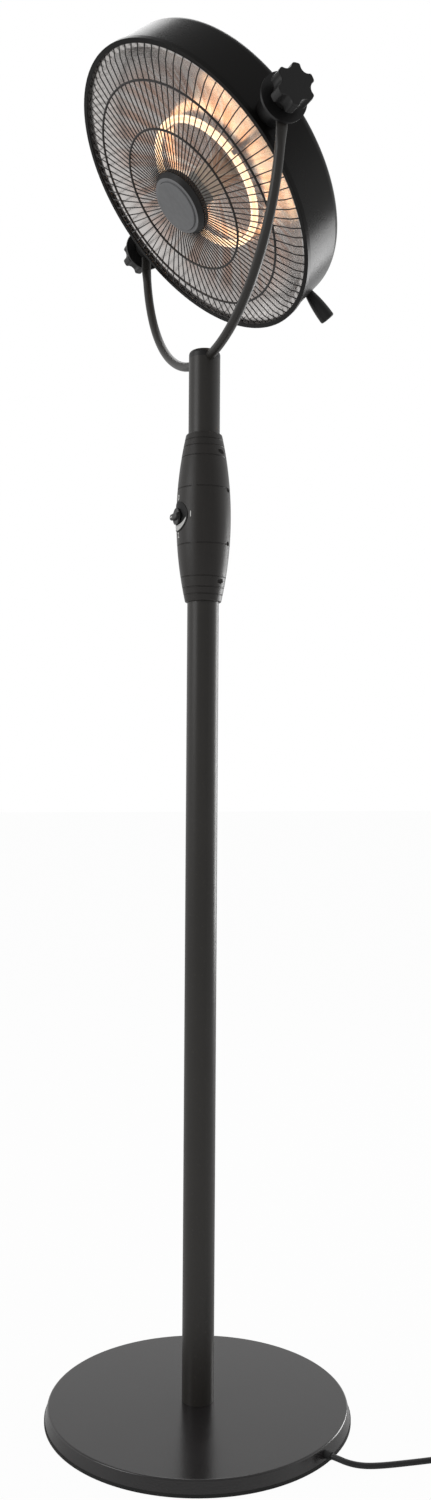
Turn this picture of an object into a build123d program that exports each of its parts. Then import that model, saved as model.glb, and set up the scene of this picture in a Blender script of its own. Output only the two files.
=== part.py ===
from build123d import *
import os
from math import asin, atan2, cos, dist, pi, radians, sin, sqrt, tan

# Infrared patio heater tower: a weighted round base, a plain pole with a barrel-shaped
# control housing, a half-round tube yoke and a round heater head that tilts in it.
# Frame: +Z up, the floor is z = 0, the pole stands on the origin, the head faces -Y and
# tilts about an axis along X. Everything is in millimetres.

# ---- Driving dimensions: base ----
base_radius = 200.0  # rubber edge on the floor
rubber_width = 14.0  # rubber under the base
rubber_lip = 6.0  # rubber that stands up outside the steel sheet
rubber_sole = 2.5  # rubber below the steel sheet
rubber_height = 4.0
sheet = 1.5  # steel sheet of the base cover and of the plate under it
base_height = 19.0  # floor to the top of the base cover
cover_inset = 0.6  # cover's foot inside the rubber's edge
cover_lean = 3.9  # how far the cover's side leans in
cover_round = 2.5  # rounding at the top of the cover's side
ballast_inset = 50.0  # rubber edge to the ballast's side
plate_opening_radius = 24.0  # hole under the pole bolt's head
plate_screw_count = 6
plate_screw_inset = 25.0  # ballast's side to the screws' circle
plate_screw_radius = 2.0
plate_screw_head = 4.0
plate_screw_length = 9.0

# ---- Driving dimensions: pole ----
tube_radius = 21.0
tube_wall = 1.5
pole_top = 1394.0  # middle of the yoke tube where it crosses the pole
lower_tube_gap = 44.0  # housing's middle down to the lower tube's end
upper_tube_gap = 48.0  # housing's middle up to the upper tube's start
coupler_below = 94.0  # coupler's ends below and above the housing's middle
coupler_above = 96.0
coupler_wall = 1.5
foot_plug_height = 30.0
bolt_radius = 4.0
bolt_head_radius = 7.0
bolt_head_height = 5.3
bolt_grip = 24.0  # thread inside the foot plug
washer_radius = 9.0
washer_height = 1.6
washer_pocket = 2.0  # room round the washer and bolt head
cap_height = 11.0
cap_round = 6.0
cap_plug_height = 34.0  # saddle below the yoke tube, inside the pole
clamp_screw_radius = 2.5
clamp_screw_head = 4.6
clamp_screw_head_height = 2.5
clamp_screw_depth = 22.0

# ---- Driving dimensions: control housing ----
housing_drop = 214.0  # pole's top to the housing's middle
housing_length = 224.0
housing_room = 15.4  # pole's outside to the housing's outside at its middle
housing_end_lip = 3.0  # pole's outside to the housing's outside at its ends
housing_wall = 2.5
housing_end_wall = 12.0
housing_end_round = 2.0
seam_radius = 0.8
seam_offsets = (37.5, 80.0, 94.0, 103.0)  # ring grooves above and below the middle
housing_screw_gap = 4.0  # pole's outside to the screws' middles
housing_screw_offsets = (35.5, 86.0)
housing_screw_radius = 1.5
housing_screw_head = 2.8
housing_screw_head_height = 2.4
housing_screw_depth = 10.0
housing_boss_radius = 3.4
housing_boss_height = 6.0
head_room = 0.2  # radial room round a sunk screw head
dial_radius = 20.0
dial_thickness = 0.8
screw_seat_depth = 0.4  # housing's outside down to the heads of the switch's screws
switch_half = 13.0
switch_inset = 6.4  # switch's face inside the housing's outside
switch_boss_radius = 17.0
switch_bush_radius = 5.0
switch_screw_radius = 1.2
switch_screw_head = 2.2
switch_screw_offset = 9.0
bracket_front = 5.5  # distance of the bracket plate's face in front of the pole axis
bracket_thickness = 1.5
window_half = 34.0  # half height of the coupler's window
terminal_half_width = 14.0
terminal_depth = 13.0
terminal_half_height = 12.0
terminal_below_middle = 14.0

# ---- Driving dimensions: selector ----
shaft_radius = 3.0
turning_gap = 0.05  # radial running gap of every turning fit
knob_gap = 0.5  # gap between the selector and its dial
selector_radius = 11.0
selector_skirt = 2.2
selector_blade_length = 26.0
selector_blade_width = 8.0
selector_blade_height = 4.0
selector_round = 1.5

# ---- Driving dimensions: yoke and pivots ----
yoke_tube_radius = 6.25
yoke_tube_wall = 1.5
yoke_fit_gap = 0.15  # gap between the yoke tube and the pole's notches
eye_radius = 14.0
eye_thickness = 6.0
eye_neck = 7.5  # half width of the flattened tube below the eye
flat_start = 54.0  # where the tube starts to flatten, below the pivot
flat_end = 33.0
pivot_rise = 7.0  # pivot above the centre of the yoke's half circle
side_gap = 0.3  # gap between pieces that turn past each other
spacer_radius = 18.0
spacer_length = 26.7
disc_radius = 30.0
disc_thickness = 4.0
disc_round = 1.2
stud_radius = 4.0
stud_head_radius = 8.0
stud_head_height = 4.0
stud_thread = 24.0  # stud beyond the clamp disc
star_tip_radius = 25.0
star_flute_radius = 9.0
star_flute_circle = 28.2
star_lobes = 6  # one of them points straight up
star_hub_radius = 16.0
star_hub_length = 11.0
star_thickness = 20.0
star_spare = 0.6  # room beyond the stud's end
star_round = 1.6

# ---- Driving dimensions: heater head ----
head_tilt = 43.0  # degrees that the head looks down
head_radius = 202.0
head_front = 25.0  # drum's front edge, ahead of the pivot axis
head_back = 48.0  # drum's back, behind the pivot axis
drum_taper = 6.0  # the drum's radius is this much less at its back
drum_wall = 1.2
drum_round = 14.0
vent_count = 24
vent_inset = 63.0  # drum's side to the middle of the vents
vent_length = 34.0
vent_width = 4.0
bezel_thickness = 1.5
bezel_lip = 5.0  # bezel's lip inside the drum's outside
bezel_round = 0.6
bezel_skirt = 4.5
frame_wire_radius = 2.0  # hoop that the grille's wires end on
reflector_thickness = 0.8
reflector_floor = -16.0
reflector_floor_radius = 50.0
reflector_mouth_inset = 10.8  # drum's inside to the reflector's mouth
reflector_mid_inset = 61.0  # reflector's mouth to the middle point of its curve
reflector_mid_height = -3.5
wire_radius = 0.8
wire_count = 90
wire_inset = 1.0  # wires end this far inside the hoop's middle circle
kink_inset = 13.0  # hoop's middle circle to the kink in the wires
kink_height = 4.5
dome_inset = 61.5  # kink to the slight bend in the dome
dome_height = 15.0
dome_bend = 1000.0
kink_bend = 9.0
wire_end_height = 23.5
outer_ring_inset = 28.5  # kink to the outer ring wire
inner_ring_radius = 98.5
ring_wire_radius = 1.5
ring_bite = 0.15  # weld depth of the ring wires on the spokes
cap_radius = 43.5
cap_behind = 6.5  # cap's back, behind the wires' ends
cap_depth = 15.0
cap_slope_width = 5.0  # the cap narrows by this much towards its front
cap_slope_depth = 7.0
cap_rim = 9.2
cap_recess = 3.0
cap_floor = 2.0
cap_disc_gap = 0.5  # dark line round the disc
cap_disc_height = 5.5
cap_disc_round = 0.9
wire_bite = 0.8  # spokes in the cap's side
lamp_ring_radius = 88.0
lamp_tube_radius = 5.0
lamp_tube_wall = 1.0
filament_radius = 1.5
lamp_bend = 10.0
lamp_leg_offset = 12.0
holder_start = -30.0
holder_length = 38.0
holder_width = 44.0
holder_top = 9.0
clip_width = 7.0
clip_length = 12.0
mount_screw_radius = 2.0
mount_screw_head = 4.0
mount_screw_head_height = 2.2
mount_screw_spacing = 14.0
mount_spacer_radius = 5.0
handle_offset = -29.0  # along the head's axis, behind the pivot
handle_length = 44.0
handle_neck = 5.0
handle_waist = 9.4
handle_end = 10.5
handle_round = 2.5
handle_screw_radius = 2.5
handle_screw_head = 4.5
handle_screw_head_height = 3.0
handle_screw_grip = 24.0

# ---- Driving dimensions: mains lead ----
cord_radius = 3.5
cord_height = 10.0  # middle of the cord where it leaves the base
cord_angle = 30.0  # direction in which it leaves the base, from +X
cord_joint_inset = 10.0  # inner lead and outer cord meet here, in the gland
gland_radius = 5.5  # gland's inner end; it tapers to its outer end
gland_end_radius = 4.6
gland_inside = 20.0  # gland's inner and outer ends, from the rubber edge
gland_outside = 6.0
lead_offset = 13.5  # the lead climbs this far beside the pole's axis
lead_bend = 7.0
channel_side_gap = 1.0
coil_start = (226.0, 268.0)
coil_radius = 50.0  # first and last half turn
coil_pitch = 7.6  # from turn to turn and from layer to layer
coil_half_turns = 6  # in each layer
plug_body_radius = 18.5
plug_body_length = 36.0
plug_neck_length = 20.0
plug_neck_radius = 5.5
plug_round = 4.0
plug_edge = 1.0  # rounding of the plug's face and of its pins
pin_radius = 2.4
pin_length = 19.0
pin_spacing = 19.0
pin_root = 8.0  # metal inside the plug's body

def drum_radius_at(height, inset=0.0):
    """The tapered drum's radius at a height along the head's axis, less an inset."""
    lost = drum_taper * (head_front - height) / (head_front + head_back)
    return head_radius - lost - inset


# ---- Worked-out places ----
ballast_radius = base_radius - ballast_inset
plate_screw_circle = ballast_radius - plate_screw_inset
gland_start = base_radius - gland_inside
gland_end = base_radius + gland_outside
cord_joint_radius = base_radius - cord_joint_inset
housing_middle = pole_top - housing_drop
lower_tube_end = housing_middle - lower_tube_gap
upper_tube_start = housing_middle + upper_tube_gap
coupler_start = housing_middle - coupler_below
coupler_end = housing_middle + coupler_above
housing_radius = tube_radius + housing_room
housing_end_radius = tube_radius + housing_end_lip
housing_screw_x = tube_radius + housing_screw_gap
switch_front = housing_radius - switch_inset
cover_foot_radius = base_radius - cover_inset
cover_top_radius = cover_foot_radius - cover_lean
plate_bottom = rubber_sole
plate_top = plate_bottom + sheet
plate_radius = base_radius - rubber_lip
tube_bore = tube_radius - tube_wall
coupler_bore = tube_bore - coupler_wall
lead_direction = (cos(radians(cord_angle)), sin(radians(cord_angle)), 0)
housing_bottom = housing_middle - housing_length / 2
housing_top = housing_middle + housing_length / 2
screw_seat = housing_radius - screw_seat_depth
dial_face = housing_radius + dial_thickness
selector_back = dial_face + knob_gap
arm_x = head_radius + spacer_length + side_gap + eye_thickness / 2
yoke_radius = arm_x
yoke_middle = pole_top + yoke_radius
pivot_height = yoke_middle + pivot_rise
spacer_face = head_radius + spacer_length
disc_start = arm_x + eye_thickness / 2 + side_gap
disc_end = disc_start + disc_thickness
star_start = disc_end + side_gap
stud_end = disc_end + stud_thread
vent_circle = head_radius - vent_inset
drum_inner = head_radius - drum_wall
pivot_wall = drum_radius_at(0, drum_wall)
reflector_mouth_radius = drum_inner - reflector_mouth_inset
reflector_mid = (reflector_mouth_radius - reflector_mid_inset, reflector_mid_height)
hoop_height = head_front - frame_wire_radius
hoop_radius = drum_radius_at(hoop_height, drum_wall + frame_wire_radius + side_gap)
kink_radius = hoop_radius - kink_inset
dome_radius = kink_radius - dome_inset
outer_ring_radius = kink_radius - outer_ring_inset
tilt = radians(head_tilt)

pivot = Vector(0, 0, pivot_height)
head = Plane(origin=pivot, x_dir=(1, 0, 0), z_dir=(0, -cos(tilt), -sin(tilt)))
head_section = Plane(origin=pivot, x_dir=head.x_dir, z_dir=-head.y_dir)
head_axis = Axis(pivot, head.z_dir)


def across(x):
    """The plane square to the pivot axis at a distance from the middle of the head."""
    return Plane(origin=(x, 0, pivot_height), x_dir=(0, 1, 0), z_dir=(1, 0, 0))


def in_front(y, z=housing_middle):
    """The plane that faces the front, a distance in front of the pole's axis."""
    return Plane(origin=(0, -y, z), x_dir=(1, 0, 0), z_dir=(0, -1, 0))


# ---- Base ----
with BuildPart() as edge_ring:
    with BuildSketch(Plane.XZ):
        Polygon(
            (base_radius - rubber_width, 0),
            (base_radius, 0),
            (base_radius, rubber_height),
            (plate_radius, rubber_height),
            (plate_radius, plate_bottom),
            (base_radius - rubber_width, plate_bottom),
            align=None,
        )
    revolve(axis=Axis.Z)

with BuildPart() as base_plate:
    with BuildSketch(Plane.XY.offset(plate_bottom)):
        Circle(plate_radius)
        Circle(plate_opening_radius, mode=Mode.SUBTRACT)
    extrude(amount=sheet)
    with BuildSketch(Plane.XY.offset(plate_bottom)):
        with PolarLocations(plate_screw_circle, plate_screw_count):
            Circle(plate_screw_head)
    extrude(amount=sheet, mode=Mode.SUBTRACT)

with BuildPart() as base_plate_screws:
    with BuildSketch(Plane.XY.offset(plate_bottom)):
        with PolarLocations(plate_screw_circle, plate_screw_count):
            Circle(plate_screw_head)
    extrude(amount=sheet)
    with BuildSketch(Plane.XY.offset(plate_top)):
        with PolarLocations(plate_screw_circle, plate_screw_count):
            Circle(plate_screw_radius)
    extrude(amount=plate_screw_length)

washer_top = plate_top + bolt_head_height + washer_height
channel_half = cord_radius + channel_side_gap
channel_plane = Plane(origin=(0, 0, 0), x_dir=lead_direction, z_dir=(0, 0, 1))

with BuildPart() as ballast:
    with BuildSketch(Plane.XY.offset(plate_top)):
        Circle(ballast_radius)
    extrude(amount=base_height - sheet - plate_top)
    with BuildSketch(Plane.XY.offset(plate_top)):
        Circle(washer_radius + washer_pocket)
    extrude(amount=washer_top - plate_top, mode=Mode.SUBTRACT)
    with BuildSketch(Plane.XY.offset(washer_top)):
        Circle(bolt_radius)
    extrude(amount=base_height, mode=Mode.SUBTRACT)
    with BuildSketch(Plane.XY.offset(plate_top)):
        with PolarLocations(plate_screw_circle, plate_screw_count):
            Circle(plate_screw_radius)
    extrude(amount=plate_screw_length, mode=Mode.SUBTRACT)
    with BuildSketch(channel_plane.offset(cord_height - channel_half)):
        with Locations((lead_offset - channel_half, 0)):
            Rectangle(ballast_radius, 2 * channel_half, align=(Align.MIN, Align.CENTER))
    extrude(amount=base_height, mode=Mode.SUBTRACT)

gland_plane = Plane(
    origin=Vector(lead_direction) * gland_start + Vector(0, 0, cord_height),
    z_dir=lead_direction,
)

with BuildPart() as gland_outline:
    with BuildSketch(gland_plane):
        Circle(gland_radius)
    with BuildSketch(gland_plane.offset(gland_end - gland_start)):
        Circle(gland_end_radius)
    loft()

with BuildPart() as base_cover:
    with BuildSketch(Plane.XZ):
        Polygon(
            (0, base_height - sheet),
            (cover_top_radius - sheet, base_height - sheet),
            (cover_foot_radius - sheet, rubber_height),
            (cover_foot_radius, rubber_height),
            (cover_top_radius, base_height),
            (0, base_height),
            align=None,
        )
    revolve(axis=Axis.Z)
    fillet(edges().filter_by(GeomType.CIRCLE).sort_by(Axis.Z)[-1], cover_round)
    with BuildSketch(Plane.XY.offset(base_height - sheet)):
        Circle(bolt_radius)
        with Locations(Vector(lead_direction) * lead_offset):
            Circle(cord_radius + channel_side_gap / 2)
    extrude(amount=sheet, mode=Mode.SUBTRACT)
    add(gland_outline.part, mode=Mode.SUBTRACT)

with BuildPart() as cord_gland:
    add(gland_outline.part)
    with BuildSketch(gland_plane):
        Circle(cord_radius)
    extrude(amount=gland_end - gland_start, mode=Mode.SUBTRACT)

# ---- Pole ----
with BuildPart() as pole_foot_plug:
    with BuildSketch(Plane.XY.offset(base_height)):
        Circle(tube_bore)
        Circle(bolt_radius, mode=Mode.SUBTRACT)
        with Locations(Vector(lead_direction) * lead_offset):
            Circle(cord_radius, mode=Mode.SUBTRACT)
    extrude(amount=foot_plug_height)

with BuildPart() as pole_washer:
    with BuildSketch(Plane.XY.offset(washer_top - washer_height)):
        Circle(washer_radius)
        Circle(bolt_radius, mode=Mode.SUBTRACT)
    extrude(amount=washer_height)

with BuildPart() as pole_bolt:
    with BuildSketch(Plane.XY.offset(plate_top)):
        RegularPolygon(bolt_head_radius, 6)
    extrude(amount=bolt_head_height)
    with BuildSketch(Plane.XY.offset(plate_top)):
        Circle(bolt_radius)
    extrude(amount=base_height + bolt_grip - plate_top)

with BuildPart() as pole_tube:
    with BuildSketch(Plane.XY.offset(base_height)):
        Circle(tube_radius)
        Circle(tube_bore, mode=Mode.SUBTRACT)
    extrude(amount=lower_tube_end - base_height)

with BuildPart() as pole_coupler:
    with BuildSketch(Plane.XY.offset(coupler_start)):
        Circle(tube_bore)
        Circle(coupler_bore, mode=Mode.SUBTRACT)
    extrude(amount=coupler_end - coupler_start)
    with BuildSketch(in_front(bracket_front - bracket_thickness)):
        Rectangle(2 * tube_radius, 2 * window_half)
    extrude(amount=tube_radius, mode=Mode.SUBTRACT)

with BuildPart() as upper_tube:
    with BuildSketch(Plane.XY.offset(upper_tube_start)):
        Circle(tube_radius)
        Circle(tube_bore, mode=Mode.SUBTRACT)
    extrude(amount=pole_top - upper_tube_start)
    with Locations(Location((0, 0, yoke_middle), (90, 0, 0))):
        Torus(yoke_radius, yoke_tube_radius + yoke_fit_gap, mode=Mode.SUBTRACT)

with BuildPart() as yoke_saddle:
    with BuildSketch(Plane.XY.offset(pole_top - cap_plug_height)):
        Circle(tube_bore)
        Circle(clamp_screw_radius, mode=Mode.SUBTRACT)
    extrude(amount=cap_plug_height)
    with Locations(Location((0, 0, yoke_middle), (90, 0, 0))):
        Torus(yoke_radius, yoke_tube_radius, mode=Mode.SUBTRACT)

cap_top = pole_top + cap_height

with BuildPart() as tube_cap:
    with BuildSketch(Plane.XY.offset(pole_top)):
        Circle(tube_radius)
    extrude(amount=cap_height)
    fillet(edges().sort_by(Axis.Z)[-1], cap_round)
    with Locations(Location((0, 0, yoke_middle), (90, 0, 0))):
        Torus(yoke_radius, yoke_tube_radius, mode=Mode.SUBTRACT)
    with BuildSketch(Plane.XY.offset(pole_top)):
        Circle(clamp_screw_radius)
    extrude(amount=cap_height, mode=Mode.SUBTRACT)
    with BuildSketch(Plane.XY.offset(cap_top - clamp_screw_head_height)):
        Circle(clamp_screw_head)
    extrude(amount=clamp_screw_head_height, mode=Mode.SUBTRACT)

with BuildPart() as clamp_screw:
    with BuildSketch(Plane.XY.offset(pole_top - clamp_screw_depth)):
        Circle(clamp_screw_radius)
    extrude(amount=clamp_screw_depth + cap_height)
    with BuildSketch(Plane.XY.offset(cap_top - clamp_screw_head_height)):
        Circle(clamp_screw_head)
    extrude(amount=clamp_screw_head_height)

# ---- Yoke ----
flat_angle = asin((yoke_middle - pivot_height + flat_start) / yoke_radius)
tube_end = Vector(
    yoke_radius * cos(flat_angle), 0, yoke_middle - yoke_radius * sin(flat_angle)
)
tube_end_plane = Plane(origin=tube_end, z_dir=(sin(flat_angle), 0, cos(flat_angle)))
neck_plane = Plane.XY.offset(pivot_height - flat_end)

with BuildPart() as yoke_arm:
    with BuildSketch(tube_end_plane):
        Circle(yoke_tube_radius)
    with BuildSketch(neck_plane):
        with Locations((arm_x, 0)):
            Ellipse(eye_thickness / 2, eye_neck)
    loft()
    with BuildSketch(neck_plane):
        with Locations((arm_x, 0)):
            Ellipse(eye_thickness / 2, eye_neck)
    extrude(amount=flat_end - eye_neck)
    with BuildSketch(across(arm_x - eye_thickness / 2)):
        Circle(eye_radius)
    extrude(amount=eye_thickness)
    with BuildSketch(across(arm_x - eye_thickness / 2)):
        Circle(stud_radius + turning_gap)
    extrude(amount=eye_thickness, mode=Mode.SUBTRACT)

with BuildPart() as yoke:
    with BuildLine() as yoke_line:
        ThreePointArc(
            (-tube_end.X, 0, tube_end.Z), (0, 0, pole_top), (tube_end.X, 0, tube_end.Z)
        )
    with BuildSketch(Plane(origin=yoke_line.line @ 0, z_dir=yoke_line.line % 0)):
        Circle(yoke_tube_radius)
        Circle(yoke_tube_radius - yoke_tube_wall, mode=Mode.SUBTRACT)
    sweep()
    add(yoke_arm.part)
    mirror(yoke_arm.part, about=Plane.YZ)
    with BuildSketch(Plane.XY.offset(pole_top - yoke_tube_radius)):
        Circle(clamp_screw_radius)
    extrude(amount=2 * yoke_tube_radius, mode=Mode.SUBTRACT)

# ---- Control housing ----
sag = housing_radius - housing_end_radius
barrel_radius = (housing_length**2 / 4 + sag**2) / (2 * sag)


def barrel_at(height, skin=0.0):
    """The outer radius of the housing, or of a skin on it, above or below its middle."""
    return housing_radius - barrel_radius + sqrt((barrel_radius + skin) ** 2 - height**2)


cavity_half = housing_length / 2 - housing_end_wall
cavity_end_radius = barrel_at(cavity_half) - housing_wall
boss_heights = [side * h for h in housing_screw_offsets for side in (-1, 1)]
boss_places = [(x, h) for h in boss_heights for x in (-housing_screw_x, housing_screw_x)]

with BuildPart() as barrel:
    with BuildSketch(Plane.XZ):
        with BuildLine():
            ThreePointArc(
                (housing_end_radius, housing_bottom),
                (housing_radius, housing_middle),
                (housing_end_radius, housing_top),
            )
            Polyline(
                (housing_end_radius, housing_top),
                (0, housing_top),
                (0, housing_bottom),
                (housing_end_radius, housing_bottom),
            )
        make_face()
    revolve(axis=Axis.Z)
    ends = edges().filter_by(GeomType.CIRCLE).sort_by(Axis.Z)
    fillet([ends[0], ends[-1]], housing_end_round)

with BuildPart() as barrel_cavity:
    with BuildSketch(Plane.XZ):
        with BuildLine():
            ThreePointArc(
                (cavity_end_radius, housing_middle - cavity_half),
                (housing_radius - housing_wall, housing_middle),
                (cavity_end_radius, housing_middle + cavity_half),
            )
            Polyline(
                (cavity_end_radius, housing_middle + cavity_half),
                (0, housing_middle + cavity_half),
                (0, housing_middle - cavity_half),
                (cavity_end_radius, housing_middle - cavity_half),
            )
        make_face()
    revolve(axis=Axis.Z)

with BuildPart() as barrel_shell:
    add(barrel.part)
    add(barrel_cavity.part, mode=Mode.SUBTRACT)
    for offset_height in seam_offsets:
        for side in (-1, 1):
            with Locations((0, 0, housing_middle + side * offset_height)):
                Torus(barrel_at(offset_height), seam_radius, mode=Mode.SUBTRACT)

with BuildPart() as front_bosses:
    with BuildSketch(in_front(0)):
        with Locations(*boss_places):
            Circle(housing_boss_radius)
    extrude(amount=housing_radius)
    with BuildSketch(in_front(switch_front)):
        Circle(switch_boss_radius)
    extrude(amount=housing_radius - switch_front)
    add(barrel.part, mode=Mode.INTERSECT)

with BuildPart() as rear_bosses:
    with BuildSketch(in_front(0)):
        with Locations(*boss_places):
            Circle(housing_boss_radius)
    extrude(amount=-housing_radius)
    add(barrel.part, mode=Mode.INTERSECT)

with BuildPart() as housing_front:
    add(barrel_shell.part)
    split(bisect_by=Plane.XZ, keep=Keep.TOP)
    add(front_bosses.part)
    with BuildSketch(in_front(switch_front)):
        Circle(switch_bush_radius)
        with Locations((0, switch_screw_offset), (0, -switch_screw_offset)):
            Circle(switch_screw_radius)
    extrude(amount=housing_radius, mode=Mode.SUBTRACT)
    with BuildSketch(in_front(screw_seat - switch_screw_head)):
        with Locations((0, switch_screw_offset), (0, -switch_screw_offset)):
            Circle(switch_screw_head)
    extrude(amount=housing_radius, mode=Mode.SUBTRACT)
    with BuildSketch(Plane.XY.offset(housing_bottom)):
        Circle(tube_radius)
    extrude(amount=housing_length, mode=Mode.SUBTRACT)
    with BuildSketch(in_front(0)):
        with Locations(*boss_places):
            Circle(housing_screw_radius)
    extrude(amount=housing_screw_depth, mode=Mode.SUBTRACT)

with BuildPart() as housing_rear:
    add(barrel_shell.part)
    split(bisect_by=Plane.XZ, keep=Keep.BOTTOM)
    add(rear_bosses.part)
    with BuildSketch(Plane.XY.offset(housing_bottom)):
        Circle(tube_radius)
    extrude(amount=housing_length, mode=Mode.SUBTRACT)
    with BuildSketch(in_front(0)):
        with Locations(*boss_places):
            Circle(housing_screw_radius)
    extrude(amount=-housing_boss_height, mode=Mode.SUBTRACT)
    with BuildSketch(in_front(-housing_boss_height)):
        with Locations(*boss_places):
            Circle(housing_screw_head + head_room)
    extrude(amount=-housing_radius, mode=Mode.SUBTRACT)

with BuildPart() as housing_screws:
    with BuildSketch(in_front(housing_screw_depth)):
        with Locations(*boss_places):
            Circle(housing_screw_radius)
    extrude(amount=-housing_screw_depth - housing_boss_height)
    with BuildSketch(in_front(-housing_boss_height)):
        with Locations(*boss_places):
            Circle(housing_screw_head)
    extrude(amount=-housing_screw_head_height)

bracket_half_width = sqrt(tube_bore**2 - bracket_front**2)

with BuildPart() as switch_bracket:
    with BuildSketch(in_front(bracket_front - bracket_thickness)):
        Rectangle(2 * bracket_half_width, 2 * window_half)
    extrude(amount=bracket_thickness)

shaft_pocket = switch_front - 4 * shaft_radius

with BuildPart() as rotary_switch:
    with BuildSketch(in_front(bracket_front)):
        Rectangle(2 * switch_half, 2 * switch_half)
    extrude(amount=switch_front - bracket_front)
    fillet(edges().filter_by(Axis.Y), 2)
    with BuildSketch(in_front(switch_front)):
        Circle(switch_bush_radius)
    extrude(amount=dial_face - switch_front)
    with BuildSketch(in_front(shaft_pocket)):
        Circle(shaft_radius + turning_gap)
    extrude(amount=dial_face, mode=Mode.SUBTRACT)
    with BuildSketch(in_front(switch_front)):
        with Locations((0, switch_screw_offset), (0, -switch_screw_offset)):
            Circle(switch_screw_radius)
    extrude(amount=-switch_screw_offset, mode=Mode.SUBTRACT)

with BuildPart() as switch_screws:
    with BuildSketch(in_front(switch_front - switch_screw_offset)):
        with Locations((0, switch_screw_offset), (0, -switch_screw_offset)):
            Circle(switch_screw_radius)
    extrude(amount=screw_seat - switch_front + switch_screw_offset)
    with BuildSketch(in_front(screw_seat)):
        with Locations((0, switch_screw_offset), (0, -switch_screw_offset)):
            Circle(switch_screw_head)
    extrude(amount=-switch_screw_head)

terminal_top = housing_middle - terminal_below_middle + terminal_half_height
terminal_bottom = terminal_top - 2 * terminal_half_height
terminal_plane = Plane.XY.offset(terminal_bottom)

with BuildPart() as terminal_block:
    with BuildSketch(terminal_plane):
        with Locations((0, bracket_thickness - bracket_front)):
            Rectangle(
                2 * terminal_half_width, terminal_depth, align=(Align.CENTER, Align.MIN)
            )
    extrude(amount=2 * terminal_half_height)

skin_half = 2 * dial_radius
skin_end_radius = barrel_at(skin_half, dial_thickness)

with BuildPart() as dial_plate:
    with BuildSketch(Plane.XZ):
        with BuildLine():
            ThreePointArc(
                (skin_end_radius, housing_middle - skin_half),
                (dial_face, housing_middle),
                (skin_end_radius, housing_middle + skin_half),
            )
            Polyline(
                (skin_end_radius, housing_middle + skin_half),
                (0, housing_middle + skin_half),
                (0, housing_middle - skin_half),
                (skin_end_radius, housing_middle - skin_half),
            )
        make_face()
    revolve(axis=Axis.Z)
    add(barrel.part, mode=Mode.SUBTRACT)
    with BuildSketch(in_front(0)):
        Circle(dial_radius)
        Circle(switch_bush_radius, mode=Mode.SUBTRACT)
    extrude(amount=2 * housing_radius, mode=Mode.INTERSECT)

# ---- Selector ----
with BuildPart() as selector_knob:
    with BuildSketch(in_front(selector_back)):
        Circle(selector_radius)
    extrude(amount=selector_skirt)
    with BuildSketch(in_front(selector_back + selector_skirt)):
        SlotOverall(selector_blade_length, selector_blade_width)
    extrude(amount=selector_blade_height)
    fillet(faces().sort_by(Axis.Y)[0].edges(), selector_round)
    with BuildSketch(in_front(selector_back)):
        Circle(shaft_radius)
    extrude(amount=selector_blade_height, mode=Mode.SUBTRACT)

with BuildPart() as selector_shaft:
    with BuildSketch(in_front(shaft_pocket + knob_gap)):
        Circle(shaft_radius)
    extrude(amount=selector_back + selector_blade_height - shaft_pocket - knob_gap)

# ---- Inner mains lead ----
lead_foot = Vector(lead_direction) * lead_offset

with BuildPart() as supply_lead:
    with BuildLine() as lead_line:
        FilletPolyline(
            Vector(lead_direction) * cord_joint_radius + Vector(0, 0, cord_height),
            lead_foot + Vector(0, 0, cord_height),
            lead_foot + Vector(0, 0, terminal_bottom),
            radius=lead_bend,
        )
    with BuildSketch(Plane(origin=lead_line.line @ 0, z_dir=lead_line.line % 0)):
        Circle(cord_radius)
    sweep()

# ---- Heater head: casing ----
with BuildPart() as drum_outside:
    with BuildSketch(head_section):
        Polygon(
            (0, -head_back),
            (drum_radius_at(-head_back), -head_back),
            (head_radius, head_front),
            (0, head_front),
            align=None,
        )
    revolve(axis=head_axis)
    fillet(edges().sort_by(head_axis)[0], drum_round)

with BuildPart() as drum_space:
    with BuildSketch(head_section):
        Polygon(
            (0, drum_wall - head_back),
            (drum_radius_at(drum_wall - head_back, drum_wall), drum_wall - head_back),
            (drum_inner, head_front),
            (0, head_front),
            align=None,
        )
    revolve(axis=head_axis)
    fillet(edges().sort_by(head_axis)[0], drum_round - drum_wall)

mount_x = holder_start + holder_length / 2
mount_places = [(mount_x, mount_screw_spacing), (mount_x, -mount_screw_spacing)]
handle_start = head.from_local_coords((0, 0, handle_offset))
handle_out = Plane(origin=handle_start, z_dir=-head.y_dir)

with BuildPart() as drum_shell:
    add(drum_outside.part)
    add(drum_space.part, mode=Mode.SUBTRACT)
    with BuildSketch(across(-head_radius)):
        Circle(stud_radius)
    extrude(amount=2 * head_radius, mode=Mode.SUBTRACT)
    with BuildSketch(head.offset(-head_back)):
        with PolarLocations(vent_circle, vent_count):
            SlotOverall(vent_length, vent_width)
        with Locations(*mount_places):
            Circle(mount_screw_radius)
    extrude(amount=drum_wall, mode=Mode.SUBTRACT)
    with BuildSketch(handle_out):
        Circle(handle_screw_radius)
    extrude(amount=head_radius, mode=Mode.SUBTRACT)

bezel_front = head_front + bezel_thickness

with BuildPart() as rim_bezel:
    with BuildSketch(head_section):
        Polygon(
            (head_radius - bezel_lip, head_front),
            (head_radius, head_front),
            (head_radius, head_front - bezel_skirt),
            (head_radius + bezel_thickness, head_front - bezel_skirt),
            (head_radius + bezel_thickness, bezel_front),
            (head_radius - bezel_lip, bezel_front),
            align=None,
        )
    revolve(axis=head_axis)
    fillet(edges().group_by(head_axis)[-1], bezel_round)

# ---- Heater head: reflector ----
flange_top = hoop_height - frame_wire_radius
under = reflector_thickness
flange_radius = drum_radius_at(flange_top - under, drum_wall)

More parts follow.
